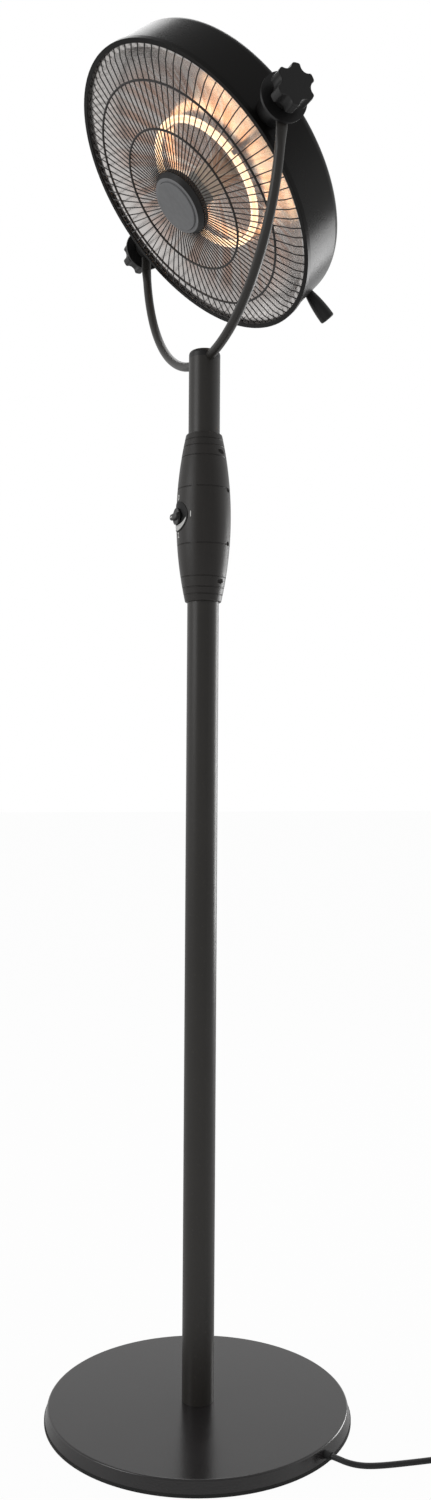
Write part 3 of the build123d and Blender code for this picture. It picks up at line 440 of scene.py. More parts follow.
def turned_mesh(name: str, outline: Sequence[tuple[float, float]], sides: int) -> bpy.types.Mesh:
    """Make a round mesh from its half outline.

    Args:
        name: The mesh's name.
        outline: Radius and height of each point, which start and end on the axis.
        sides: How many sides the round mesh has.

    Returns:
        The closed mesh, with its axis along Z.
    """
    made = bmesh.new()
    angles = [2 * math.pi * side / sides for side in range(sides)]
    rings = []
    for radius, height in outline:
        spots = [(radius * math.cos(a), radius * math.sin(a), height) for a in angles]
        rings.append([made.verts.new(spot) for spot in spots[: 1 if radius == 0 else sides]])
    for lower, upper in zip(rings, rings[1:]):
        for side in range(sides):
            after = (side + 1) % sides
            corners = [lower[side % len(lower)], lower[after % len(lower)]]
            corners += [upper[after % len(upper)], upper[side % len(upper)]]
            made.faces.new(list(dict.fromkeys(corners)))
    return finished_mesh(made, name)


def smooth(mesh: bpy.types.Mesh, edge_angle: float = 35.0) -> None:
    """Shade a mesh smooth except over edges of at least an angle in degrees."""
    mesh.polygons.foreach_set("use_smooth", [True] * len(mesh.polygons))
    mesh.set_sharp_from_angle(angle=math.radians(edge_angle))


def add_piece(
    name: str, mesh: bpy.types.Mesh, body: Body, slot: Slot, finish: "Finish", *stands_for: str
) -> bpy.types.Object:
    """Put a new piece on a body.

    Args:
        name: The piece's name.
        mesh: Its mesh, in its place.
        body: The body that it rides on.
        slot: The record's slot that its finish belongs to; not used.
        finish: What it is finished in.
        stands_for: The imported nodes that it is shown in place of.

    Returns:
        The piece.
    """
    mesh.materials.clear()
    mesh.materials.append(finish.material())
    piece = placed(name, mesh)
    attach(piece, body.value)
    if stands_for:
        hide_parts(*stands_for)
    log.info("%s: %d faces on %s", name, len(mesh.polygons), body.value)
    return piece


def dress(finish: "Finish", *names: str) -> None:
    """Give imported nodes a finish.

    Args:
        finish: The finish.
        names: The nodes.
    """
    for name in names:
        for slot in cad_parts[name].material_slots:
            slot.material = finish.material()
        log.info("%s: dressed in %s", name, finish.name)


def scaled(colour: Colour, times: float) -> Colour:
    """Return a colour made lighter or darker."""
    return tuple(channel * times for channel in colour)


# ---- Finishes ----

# The head's own frame at rest: its origin on the tilt axis, and its turn about X.
HEAD_CENTRE = (0.0, 0.0, 1.633)
HEAD_TURN = (math.radians(133.0), 0.0, 0.0)


@dataclass(frozen=True)
class Finish:
    """A surface finish that one material is made from."""

    name: str
    colour: Colour
    roughness: float

    def material(self) -> bpy.types.Material:
        """Return this finish's material, made when it is first asked for.

        Returns:
            The material.
        """
        if self.name not in bpy.data.materials:
            self.paint(ShaderMaker(self.name))
        return bpy.data.materials[self.name]

    def tone(self, tree: ShaderMaker, share: Signal, low: float, high: float) -> Signal:
        """Return the colour, mixed from a darker and a lighter one."""
        return tree.between(share, scaled(self.colour, low), scaled(self.colour, high))

    def paint(self, tree: ShaderMaker) -> None:
        """Add the finish's nodes to a new material."""
        raise NotImplementedError


@dataclass(frozen=True)
class PowderCoat(Finish):
    """Baked powder paint: a fine orange peel, faint clouds and rubbed spots."""

    shine: float = 0.5
    rub: float = 0.5
    peel_size: float = 0.0016
    peel_depth: float = 0.00005
    cloud_size: float = 0.09
    speck_size: float = 0.0045
    scuff_size: float = 0.004

    def paint(self, tree: ShaderMaker) -> None:
        """Add the finish's nodes to a new material.

        Args:
            tree: The material's tree.
        """
        place = tree.place()
        cloud = tree.noise(place, self.cloud_size, 3.0)
        peel = tree.noise(place, self.peel_size, 1.0)
        speck = tree.rise(tree.noise(place, self.speck_size), 0.62, 0.80)
        scratched = tree.noise(tree.place(stretch=(9, 2, 1)), self.scuff_size, 3.0)
        scuff = tree.rise(scratched, 0.60, 0.78)
        base = self.tone(tree, cloud, 0.85, 1.2)
        tree.shade(
            Base_Color=tree.between(speck * self.rub, base, scaled(self.colour, 1.9)),
            Roughness=self.roughness + (cloud - 0.5) * 0.12 + scuff * (0.08 * self.rub),
            Specular_IOR_Level=self.shine,
            Normal=tree.bump(peel, self.peel_depth),
        )


@dataclass(frozen=True)
class MouldedPlastic(Finish):
    """Injection-moulded plastic with a fine eroded grain."""

    grain_size: float = 0.0007
    grain_depth: float = 0.00004
    cloud_size: float = 0.03
    streak_size: float = 0.006

    def paint(self, tree: ShaderMaker) -> None:
        """Add the finish's nodes to a new material.

        Args:
            tree: The material's tree.
        """
        place = tree.place()
        grain = tree.cells(place, self.grain_size)
        cloud = tree.noise(place, self.cloud_size, 3.0)
        streak = tree.noise(tree.place(stretch=(1, 1, 12)), self.streak_size)
        tree.shade(
            Base_Color=self.tone(tree, (cloud + streak) * 0.5, 0.75, 1.3),
            Roughness=self.roughness + (cloud - 0.5) * 0.12 + (grain - 0.4) * 0.06,
            Normal=tree.bump(grain, self.grain_depth),
        )


@dataclass(frozen=True)
class PaintedReflectionPlastic(Finish):
    """Black plastic whose front face is painted pale as a painted reflection of the floor, like the
    cap's disc.
    """

    # front: the pale colour painted on the front face as the floor's reflection.
    front: Colour = (0.250, 0.252, 0.258)
    front_height: float = 0.0565
    blur: float = 0.0002
    grain_size: float = 0.0007
    grain_depth: float = 0.00002
    cloud_size: float = 0.02

    def paint(self, tree: ShaderMaker) -> None:
        """Add the finish's nodes to a new material.

        Args:
            tree: The material's tree.
        """
        place = tree.place(HEAD_CENTRE, HEAD_TURN)
        height = tree.node("ShaderNodeSeparateXYZ", None, {0: place}, out=2)
        cloud = tree.noise(place, self.cloud_size, 3.0)
        grain = tree.cells(place, self.grain_size)
        # Painted reflection: above the front height the face is painted pale, where the floor's
        # reflection falls.
        pale = tree.rise(height, self.front_height - self.blur, self.front_height + self.blur)
        tree.shade(
            Base_Color=tree.between(pale, self.tone(tree, cloud, 0.75, 1.3), self.front),
            Roughness=self.roughness + (cloud - 0.5) * 0.12,
            Normal=tree.bump(grain, self.grain_depth),
        )


@dataclass(frozen=True)
class DustySkin(Finish):
    """Black rubber or a soft cord jacket, with a dusty bloom and a slightly uneven skin."""

    skin_size: float = 0.002
    skin_detail: float = 3.0
    skin_depth: float = 0.00012
    sheen_change: float = 0.15
    bloom_size: float = 0.03
    bloom_span: tuple[float, float] = (0.45, 0.75)
    bloom_share: float = 0.6
    bloom_tone: float = 2.0
    bloom_dulling: float = 0.0

    def paint(self, tree: ShaderMaker) -> None:
        """Add the finish's nodes to a new material.

        Args:
            tree: The material's tree.
        """
        place = tree.place()
        skin = tree.noise(place, self.skin_size, self.skin_detail)
        bloom = tree.rise(tree.noise(place, self.bloom_size, 4.0), *self.bloom_span)
        roughness = self.roughness + (skin - 0.5) * self.sheen_change
        tree.shade(
            Base_Color=self.tone(tree, bloom * self.bloom_share, 1.0, self.bloom_tone),
            Roughness=roughness + bloom * self.bloom_dulling,
            Normal=tree.bump(skin, self.skin_depth),
        )


@dataclass(frozen=True)
class PlatedSteel(Finish):
    """Zinc-plated steel with small spangles and a drawn grain."""

    spangle: float = 0.003
    grain_size: float = 0.0006
    grain_depth: float = 0.00002

    def paint(self, tree: ShaderMaker) -> None:
        """Add the finish's nodes to a new material.

        Args:
            tree: The material's tree.
        """
        spangle = tree.cells(tree.place(), self.spangle)
        drawn = tree.noise(tree.place(stretch=(1, 1, 25)), self.grain_size)
        tree.shade(
            Base_Color=self.tone(tree, spangle * 0.6 + drawn * 0.4, 0.8, 1.12),
            Metallic=1.0,
            Roughness=self.roughness + (drawn - 0.5) * 0.18,
            Normal=tree.bump(drawn, self.grain_depth),
        )


@dataclass(frozen=True)
class CastIron(Finish):
    """Rough cast iron with pits and a thin rust bloom."""

    rust: Colour = (0.11, 0.055, 0.03)
    lump_size: float = 0.006
    pit_size: float = 0.004
    rust_size: float = 0.05
    relief: float = 0.0005

    def paint(self, tree: ShaderMaker) -> None:
        """Add the finish's nodes to a new material.

        Args:
            tree: The material's tree.
        """
        place = tree.place()
        lumps = tree.noise(place, self.lump_size, 5.0)
        pits = tree.rise(tree.cells(place, self.pit_size), 0.05, 0.25)
        rusty = tree.rise(tree.noise(place, self.rust_size, 5.0), 0.50, 0.70)
        tree.shade(
            Base_Color=tree.between(rusty * 0.7, self.colour, self.rust),
            Metallic=0.7 - rusty * 0.6,
            Roughness=self.roughness + (lumps - 0.5) * 0.2,
            Normal=tree.bump(lumps * 0.7 + pits * 0.3, self.relief),
        )


@dataclass(frozen=True)
class SpunAluminium(Finish):
    """Bright spun aluminium: fine rings and soft streaks, with a painted warm reflection of the
    lamp's glow that ends near the mouth.
    """

    # The warm colour is a painted reflection of the glowing lamp, not the metal's own tint.
    lamp_glow_tint: Colour = (0.78, 0.54, 0.44)
    mouth: tuple[float, float] = (0.135, 0.180)
    ring_size: float = 0.0009
    ring_depth: float = 0.00001
    cloud_size: float = 0.04

    def paint(self, tree: ShaderMaker) -> None:
        """Add the finish's nodes to a new material.

        Args:
            tree: The material's tree.
        """
        place = tree.place(HEAD_CENTRE, HEAD_TURN)
        flat = place * (1.0, 1.0, 0.0)
        streak = tree.noise(flat.worked("NORMALIZE", flat), 0.10, 3.0)
        radius = flat.worked("LENGTH", flat, out=1)
        rings = tree.noise(tree.vector(radius) + place * 0.02, self.ring_size)
        cloud = tree.noise(place, self.cloud_size, 3.0)
        # Painted reflection: the lamp's warm glow is painted in streaks near the middle, and the
        # plain colour takes over towards the mouth.
        pale = tree.rise(streak * 0.8 + cloud * 0.2, 0.38, 0.62)
        pale = pale.larger(tree.rise(radius, *self.mouth))
        tree.shade(
            Base_Color=tree.between(pale, self.lamp_glow_tint, self.colour),
            Metallic=1.0,
            Roughness=self.roughness + (rings - 0.5) * 0.10 + (streak - 0.5) * 0.30,
            Normal=tree.bump(rings, self.ring_depth),
        )


@dataclass(frozen=True)
class LitQuartz(Finish):
    """Clear quartz glass, lit from inside by its coil."""

    light: Colour = (1.0, 0.64, 0.38)
    hot_light: Colour = (1.0, 0.74, 0.50)
    strength: float = 0.42
    flow_size: float = 0.012

    def paint(self, tree: ShaderMaker) -> None:
        """Add the finish's nodes to a new material.

        Args:
            tree: The material's tree.
        """
        flow = tree.noise(tree.place(), self.flow_size, 3.0)
        tree.shade(
            Base_Color=self.tone(tree, flow, 0.94, 1.0),
            Roughness=self.roughness + flow * 0.05,
            IOR=1.46,
            Transmission_Weight=0.85,
            Emission_Color=tree.between(flow, scaled(self.light, 0.85), self.hot_light),
            Emission_Strength=self.strength,
        )


@dataclass(frozen=True)
class GlowingCoil(Finish):
    """Heating wire that glows, a little cooler in places."""

    hot_light: Colour = (1.0, 0.72, 0.40)
    strength: float = 0.36
    cool_size: float = 0.006

    def paint(self, tree: ShaderMaker) -> None:
        """Add the finish's nodes to a new material.

        Args:
            tree: The material's tree.
        """
        heat = tree.noise(tree.place(), self.cool_size, 3.0)
        tree.shade(
            Base_Color=self.tone(tree, heat, 0.5, 1.0),
            Roughness=self.roughness + heat * 0.1,
            Emission_Color=tree.between(heat, self.colour, self.hot_light),
            Emission_Strength=self.strength,
        )


@dataclass(frozen=True)
class GlazedCeramic(Finish):
    """Glazed ceramic with small dark specks and uneven glaze."""

    dark: Colour = (0.30, 0.24, 0.18)
    speck_size: float = 0.0025
    glaze_size: float = 0.015
    glaze_depth: float = 0.0002

    def paint(self, tree: ShaderMaker) -> None:
        """Add the finish's nodes to a new material.

        Args:
            tree: The material's tree.
        """
        place = tree.place()
        speck = 1 - tree.rise(tree.cells(place, self.speck_size), 0.08, 0.20)
        cloud = tree.noise(place, self.glaze_size, 3.0)
        tree.shade(
            Base_Color=tree.between(speck * 0.5, self.tone(tree, cloud, 0.86, 1.0), self.dark),
            Roughness=self.roughness + (cloud - 0.5) * 0.2,
            Normal=tree.bump(cloud, self.glaze_depth),
        )


@dataclass(frozen=True)
class PrintInk(Finish):
    """Screen-printed ink, slightly uneven in cover."""

    cover_size: float = 0.0008
    cover_depth: float = 0.00002

    def paint(self, tree: ShaderMaker) -> None:
        """Add the finish's nodes to a new material.

        Args:
            tree: The material's tree.
        """
        cover = tree.noise(tree.place(), self.cover_size, 3.0)
        tree.shade(
            Base_Color=self.tone(tree, cover, 0.78, 1.0),
            Roughness=self.roughness + (cover - 0.5) * 0.2,
            Normal=tree.bump(cover, self.cover_depth),
        )


POWDER = PowderCoat("satin powder coat", (0.0310, 0.0285, 0.0255), 0.36)
BASE_POWDER = PowderCoat("base powder coat", (0.016, 0.0145, 0.0148), 0.20, 0.85, peel_size=0.002)
DRUM_POWDER = PowderCoat("drum powder coat", (0.0055, 0.0050, 0.0045), 0.28, shine=0.2)
GUARD_POWDER = PowderCoat("guard wire coat", (0.020, 0.017, 0.016), 0.36, peel_size=0.0008)
HOUSING_PLASTIC = MouldedPlastic("housing plastic", (0.0240, 0.0212, 0.0190), 0.40)
KNOB_PLASTIC = MouldedPlastic("knob plastic", (0.0085, 0.0082, 0.0082), 0.40)
CAP_PLASTIC = MouldedPlastic("cap plastic", (0.215, 0.217, 0.222), 0.50, grain_depth=0.00002)
CAP_EDGE = PaintedReflectionPlastic("cap edge plastic", (0.008, 0.0078, 0.0078), 0.42)
PLUG_PLASTIC = MouldedPlastic("plug plastic", (0.018, 0.018, 0.019), 0.45)
RUBBER = DustySkin("edge rubber", (0.012, 0.012, 0.012), 0.72)
JACKET = DustySkin(
    "cord jacket",
    (0.016, 0.016, 0.017),
    0.42,
    skin_size=0.0016,
    skin_detail=2.0,
    skin_depth=0.00006,
    sheen_change=0.14,
    bloom_size=0.02,
    bloom_span=(0.50, 0.78),
    bloom_share=0.5,
    bloom_tone=2.2,
    bloom_dulling=0.1,
)
STEEL = PlatedSteel("plated steel", (0.56, 0.56, 0.57), 0.32)
PIN_METAL = PlatedSteel("nickel pins", (0.74, 0.71, 0.62), 0.22, spangle=0.008)
IRON = CastIron("cast iron", (0.16, 0.16, 0.16), 0.70)
ALUMINIUM = SpunAluminium("spun aluminium", (1.0, 0.96, 0.93), 0.25)
QUARTZ = LitQuartz("lit quartz", (0.96, 0.95, 0.93), 0.04)
HOT_WIRE = GlowingCoil("glowing coil", (1.0, 0.62, 0.28), 0.60)
CERAMIC = GlazedCeramic("glazed ceramic", (0.82, 0.79, 0.73), 0.30)
DIAL_BLACK = PrintInk("dial black", (0.0015, 0.0015, 0.0016), 0.60)
PALE_INK = PrintInk("pale ink", (0.80, 0.80, 0.78), 0.50)


# ---- Sub-assemblies ----


@dataclass(frozen=True)
class Lamp:
    """A soft lamp with a square face; its size is in metres and its power in watts."""

    name: str
    place: Point
    target: Point
    size: float
    power: float

    def hang(self) -> None:
        """Make the lamp, facing its target."""
        data = bpy.data.lights.new(self.name, "AREA")
        data.shape = "SQUARE"
        data.size = self.size
        data.energy = self.power
        lamp = placed(self.name, data)
        lamp.location = self.place
        facing = Vector(self.target) - Vector(self.place)
        lamp.rotation_euler = facing.to_track_quat("-Z", "Y").to_euler()


@dataclass
class Studio:
    """The pale floor, the soft light and the camera."""

    distance: float = 1.7105
    height: float = 0.8314
    azimuth: float = 67.5
    pan: float = -0.599
    pitch: float = 1.350
    roll: float = -0.369
    focal_pixels: float = 1287.4
    image_height: int = 1500
    sensor: float = 36.0
    floor_size: float = 60.0
    floor_drop: float = 0.0004
    floor_grey: float = 0.60
    floor_white: float = 0.97
    floor_mirrored: float = 0.20
    room_far: float = 0.95
    room_near: float = 0.28
    room_soft: float = 0.50
    room_turn: tuple[float, float] = (-0.15, 0.70)
    dark_ceiling: float = 0.55
    lamps: tuple[Lamp, ...] = (
        Lamp("front lamp", (0.3, -2.9, 1.9), (0.0, 0.0, 1.3), 1.6, 17.0),
        Lamp("back lamp", (-0.7, 2.6, 0.9), (0.0, 0.1, 1.5), 1.3, 32.0),
        Lamp("top lamp", (-1.6, 0.6, 3.4), (0.0, 0.0, 0.9), 1.6, 16.0),
    )

    def build(self) -> None:
        """Make the camera, the floor, the lamps and the world."""
        self.add_camera()
        self.add_floor()
        for lamp in self.lamps:
            lamp.hang()
        self.light_world()
        bpy.context.scene.view_settings.view_transform = "Standard"
        log.info("studio: camera %.2f m from the pole", self.distance)

    def towards(self) -> Vector:
        """Return the level direction from the pole to the camera."""
        side = math.radians(self.azimuth)
        return Vector((math.sin(side), -math.cos(side), 0.0))

    def add_camera(self) -> None:
        """Put the camera where the photograph was taken from."""
        data = bpy.data.cameras.new("camera")
        data.sensor_width = self.sensor
        data.lens = self.focal_pixels / self.image_height * self.sensor
        place = self.towards() * self.distance
        place.z = self.height
        facing = Matrix.Identity(4)
        turns = ((self.azimuth + self.pan, "Z"), (self.pitch, "X"), (self.roll, "Y"), (90.0, "X"))
        for degrees, axis in turns:
            facing = facing @ Matrix.Rotation(math.radians(degrees), 4, axis)
        camera = placed("camera", data)
        camera.matrix_world = Matrix.Translation(place) @ facing
        bpy.context.scene.camera = camera

    def add_floor(self) -> None:
        """Make the white floor, which keeps a soft shadow."""
        half = self.floor_size / 2
        mesh = bpy.data.meshes.new("floor")
        corners = [(-half, -half, 0), (half, -half, 0), (half, half, 0), (-half, half, 0)]
        mesh.from_pydata(corners, [], [(0, 1, 2, 3)])
        floor = placed("floor", mesh)
        floor.location.z = -self.floor_drop
        tree = ShaderMaker("studio floor")
        tree.shade(Base_Color=(self.floor_grey,) * 3, Roughness=0.9, Specular_IOR_Level=0.0)
        glow = tree.node("ShaderNodeEmission", None, {"Color": (1, 1, 1), "Strength": 1.0})
        share = tree.direct() * self.floor_white + tree.ray("Is Glossy Ray") * self.floor_mirrored
        sockets = {0: share, 1: Signal(tree, tree.shader.outputs[0]), 2: glow}
        mixed = tree.node("ShaderNodeMixShader", None, sockets)
        tree.feed(tree.tree.nodes["Material Output"].inputs["Surface"], mixed)
        mesh.materials.append(tree.material)

    def light_world(self) -> None:
        """Make the world white to the eye, darker behind the camera for reflections."""
        world = bpy.data.worlds.new("white room")
        world.use_nodes = True
        bpy.context.scene.world = world
        tree = Maker(world.node_tree)
        way = tree.node("ShaderNodeTexCoord", out="Generated")
        facing = way.worked("DOT_PRODUCT", way, tuple(self.towards()), out=1)
        overhead = way.worked("DOT_PRODUCT", way, (0.0, 0.0, 1.0), out=1)
        dark = facing.larger(overhead * self.dark_ceiling)
        reflected = tree.rise(dark, *self.room_turn, self.room_far, self.room_near)
        mirrored = tree.ray("Is Glossy Ray")
        direct = tree.direct()
        diffuse = (1 - mirrored - direct).larger(0.0)
        strength = direct + mirrored * reflected + diffuse * self.room_soft
        background = world.node_tree.nodes["Background"]
        tree.feed(background.inputs["Strength"], strength)
        tree.feed(background.inputs["Color"], (1.0, 1.0, 1.0))


@dataclass(frozen=True)
class CrossScrews:
    """Cross-recessed screws, all of one size, each turned by its own angle."""

    head_radius: float
    head_height: float
    shank_radius: float
    shank_length: float
    slot_width: float
    direction: Point
    seed: int
    finish: Finish

    def tree(self) -> GeometryMaker:
        """Make the tree that puts a screw on each given point.

        Returns:
            The tree.
        """
        sizes = ("Head_radius", "Head_height", "Shank_radius", "Shank_length", "Slot_width")
        inputs = dict.fromkeys(sizes, "Float")
        tree = GeometryMaker("cross screws", **inputs, Direction="Vector", Seed="Int")
        given = [tree.given(label.replace("_", " ")) for label in sizes]
        head_radius, height, shank_radius, shank_length, width = given
        sockets = {"Vertices": 24, "Radius Bottom": head_radius, "Depth": height}
        sockets |= {"Radius Top": head_radius * 0.80}
        head = tree.node("GeometryNodeMeshCone", None, sockets)
        sockets = {"Vertices": 12, "Radius": shank_radius, "Depth": shank_length}
        shank = tree.node("GeometryNodeMeshCylinder", None, sockets)
        shank = tree.lifted(shank, shank_length * -0.5)
        length = head_radius * 1.1
        cut = {"operation": "DIFFERENCE"}
        # The two bars of the recess differ in depth, so that their ends share no plane.
        for along, across, lift in ((length, width, 0.95), (width, length * 0.98, 0.90)):
            sockets = {"Size": tree.vector(along, across, height)}
            bar = tree.lifted(tree.node("GeometryNodeMeshCube", None, sockets), height * lift)
            head = tree.node("GeometryNodeMeshBoolean", cut, {0: head, 1: bar})
        # The one input of this node takes both links.
        screw = tree.node("GeometryNodeJoinGeometry", None, {0: head})
        tree.tree.links.new(shank.socket, screw.socket.node.inputs[0])
        sockets = {2: 0.0, 3: 2 * math.pi, "Seed": tree.given("Seed")}
        spin = tree.node("FunctionNodeRandomValue", {"data_type": "FLOAT"}, sockets, out=1)
        sockets = {"Axis": (0, 0, 1), "Angle": spin}
        own_turn = tree.node("FunctionNodeAxisAngleToRotation", None, sockets)
        sockets = {"Vector": tree.given("Direction")}
        facing = tree.node("FunctionNodeAlignRotationToVector", {"axis": "Z"}, sockets)
        sockets = {"Rotation": facing, "Rotate By": own_turn}
        turned = tree.node("FunctionNodeRotateRotation", {"rotation_space": "LOCAL"}, sockets)
        tree.end_on_points(tree.given("Geometry"), screw, Rotation=turned)
        return tree

    def mesh(self, spots: Sequence[Point]) -> bpy.types.Mesh:
        """Make the screws.

        Args:
            spots: The middle of each head.

        Returns:
            One mesh of all of them.
        """
        mesh = self.tree().run(
            spot_mesh(spots),
            Head_radius=self.head_radius,
            Head_height=self.head_height,
            Shank_radius=self.shank_radius,
            Shank_length=self.shank_length,
            Slot_width=self.slot_width,
            Direction=self.direction,
            Seed=self.seed,
            Finish=self.finish.material(),
        )
        smooth(mesh)
        return mesh


@dataclass
class Base:
    """The weighted round base: rubber edge, plates, weight, cover and screws."""

    screw_circle: float = 0.125
    screw_count: int = 6
    plate_bottom: float = 0.0025
    screws: CrossScrews = CrossScrews(
        head_radius=0.0039,
        head_height=0.0015,
        shank_radius=0.0019,
        shank_length=0.009,
        slot_width=0.001092,
        direction=(0.0, 0.0, -1.0),
        seed=4,
        finish=STEEL,
    )

    def build(self) -> None:
        """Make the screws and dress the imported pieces."""
        angles = [2 * math.pi * number / self.screw_count for number in range(self.screw_count)]
        circle = self.screw_circle
        middle = self.plate_bottom + self.screws.head_height / 2
        spots = [(circle * math.cos(a), circle * math.sin(a), middle) for a in angles]
        mesh = self.screws.mesh(spots)
        add_piece("cross_screws", mesh, Body.STAND, Slot.STEEL, STEEL, "base_plate_screws")
        dress(RUBBER, "edge_ring", "cord_gland")
        dress(POWDER, "base_plate")
        dress(IRON, "ballast")
        dress(BASE_POWDER, "base_cover")


@dataclass
class Pole:
    """The pole with its coupler, cap and yoke."""

    def build(self) -> None:
        """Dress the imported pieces."""
        dress(STEEL, "pole_foot_plug", "pole_washer", "pole_bolt", "pole_coupler")
        dress(POWDER, "pole_tube", "upper_tube", "clamp_screw", "yoke")
        dress(KNOB_PLASTIC, "yoke_saddle", "tube_cap")


@dataclass
class ControlHousing:
    """The barrel-shaped housing with its screws, dial and selector."""

    middle: float = 1.180
    radius: float = 0.0364
    end_radius: float = 0.024
    length: float = 0.224
    dial_skin: float = 0.0008
    number_reach: float = 0.0250
    number_size: float = 0.0100
    number_boldness: float = 0.00022
    ink_lift: float = 0.00004
    ink_thickness: float = 0.00016
    crescent_reach: tuple[float, float] = (0.0115, 0.0185)
    crescent_tip: float = 0.0006
    crescent_span: tuple[float, float] = (0.06, 0.94)
    crescent_steps: int = 36
    selector_front: float = 0.0439
    pointer_ends: tuple[float, float] = (-0.0108, -0.0030)
    pointer_half: float = 0.0008
    pointer_proud: float = 0.00015
    screw_places: tuple[float, ...] = (-0.086, -0.0355, 0.0355, 0.086)
    screw_side: float = 0.025
    screw_depth: float = 0.006
    screws: CrossScrews = CrossScrews(
        head_radius=0.0027,
        head_height=0.0024,
        shank_radius=0.0014,
        shank_length=0.016,
        slot_width=0.0008,
        direction=(0.0, 1.0, 0.0),
        seed=7,
        finish=POWDER,
    )

    def build(self) -> None:
        """Make the screws, the print and the pointer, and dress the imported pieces."""
        self.add_screws()
        self.add_numbers()
        self.add_crescent()
        self.add_pointer()
        dress(HOUSING_PLASTIC, "housing_front", "housing_rear")
        dress(STEEL, "switch_bracket", "switch_screws", "selector_shaft")
        dress(KNOB_PLASTIC, "rotary_switch", "selector_knob")
        dress(CERAMIC, "terminal_block")
        dress(DIAL_BLACK, "dial_plate")
        dress(JACKET, "supply_lead")

    def add_screws(self) -> None:
        """Put a screw in each hole at the housing's back."""
        depth = self.screw_depth + self.screws.head_height / 2
        heights = [self.middle + place for place in self.screw_places]
        sides = (-self.screw_side, self.screw_side)
        mesh = self.screws.mesh([(side, depth, height) for height in heights for side in sides])
        add_piece("sunk_screws", mesh, Body.STAND, Slot.BLACK_STEEL, POWDER, "housing_screws")

    def barrel(self, height: float) -> float:
        """Return the housing's radius at a height above or below its middle.

        Args:
            height: The height.

        Returns:
            The radius.
        """
        sag = self.radius - self.end_radius
        bow = (self.length**2 / 4 + sag**2) / (2 * sag)
        return self.radius - bow + math.sqrt(bow**2 - height**2)

    def wrapped(self, along: float, up: float, lift: float) -> Point:
        """Return a point on the barrel's skin.

        Args:
            along: The distance round the barrel from its front.
            up: The height above its middle.
            lift: The distance outside its skin.

        Returns:
            The point.
        """
        radius = self.barrel(up) + lift
        angle = along / self.barrel(up)
        return (radius * math.sin(angle), -radius * math.cos(angle), self.middle + up)

    def add_numbers(self) -> None:
        """Print the numbers 0 to 3 round the dial, on the barrel."""
        reach = self.number_reach
        places = {"0": (0.0, reach), "1": (reach, 0.0), "2": (0.0, -reach), "3": (-reach, 0.0)}
        made = bmesh.new()
        for text, (along, up) in places.items():
            data = bpy.data.curves.new("number", "FONT")
            data.body = text
            data.size = self.number_size
            data.align_x = "CENTER"
            data.align_y = "CENTER"
            data.extrude = self.ink_thickness / 2
            data.offset = self.number_boldness
            holder = placed("number", data)
            flat = evaluated_mesh(holder)
            for corner in flat.vertices:
                lift = self.ink_lift + corner.co.z + self.ink_thickness / 2
                corner.co = self.wrapped(along + corner.co.x, up + corner.co.y, lift)
            made.from_mesh(flat)
            bpy.data.objects.remove(holder)
            bpy.data.meshes.remove(flat)
        bmesh.ops.remove_doubles(made, verts=made.verts, dist=1e-6)
        mesh = finished_mesh(made, "dial_numbers")
        add_piece("dial_numbers", mesh, Body.STAND, Slot.DIAL_PRINT, PALE_INK)

    def add_crescent(self) -> None:
        """Print the crescent on the dial's lower half, widest at its bottom."""
        inner, outer = self.crescent_reach
        start, end = self.crescent_span
        made = bmesh.new()
        rows = []
        for step in range(self.crescent_steps + 1):
            share = step / self.crescent_steps
            angle = -math.pi * (start + (end - start) * share)
            tip = self.crescent_tip
            edge = outer - tip - (outer - inner - tip) * math.sin(math.pi * share)
            row = []
            for reach, lift in ((outer, 0.0), (outer, 1.0), (edge, 1.0), (edge, 0.0)):
                x = reach * math.cos(angle)
                up = reach * math.sin(angle)
                skin = self.dial_skin + self.ink_lift + lift * self.ink_thickness
                depth = math.sqrt((self.barrel(up) + skin) ** 2 - x**2)
                row.append(made.verts.new((x, -depth, self.middle + up)))
            rows.append(row)
        join_rows(made, rows)
        made.faces.new(rows[0])
        made.faces.new(rows[-1])
        mesh = finished_mesh(made, "dial_wedge")
        add_piece("dial_wedge", mesh, Body.STAND, Slot.DIAL_PRINT, PALE_INK)

    def add_pointer(self) -> None:
        """Inlay the pale line that shows where the selector points."""
        start, end = self.pointer_ends
        half = self.pointer_half
        proud = self.pointer_proud
        made = bmesh.new()
        bmesh.ops.create_cube(made, size=1.0)
        size = Matrix.Diagonal((end - start, 2 * proud, 2 * half, 1.0))
        place = Matrix.Translation(((start + end) / 2, -self.selector_front, self.middle))
        bmesh.ops.transform(made, matrix=place @ size, verts=made.verts)
        edges = [e for e in made.edges if abs(e.verts[0].co.y - e.verts[1].co.y) > proud]
        bmesh.ops.bevel(
            made, geom=edges, offset=half * 0.9, segments=5, profile=0.5, affect="EDGES"
        )
        mesh = finished_mesh(made, "selector_pointer")
        smooth(mesh)
        add_piece("selector_pointer", mesh, Body.SELECTOR, Slot.DIAL_PRINT, PALE_INK)


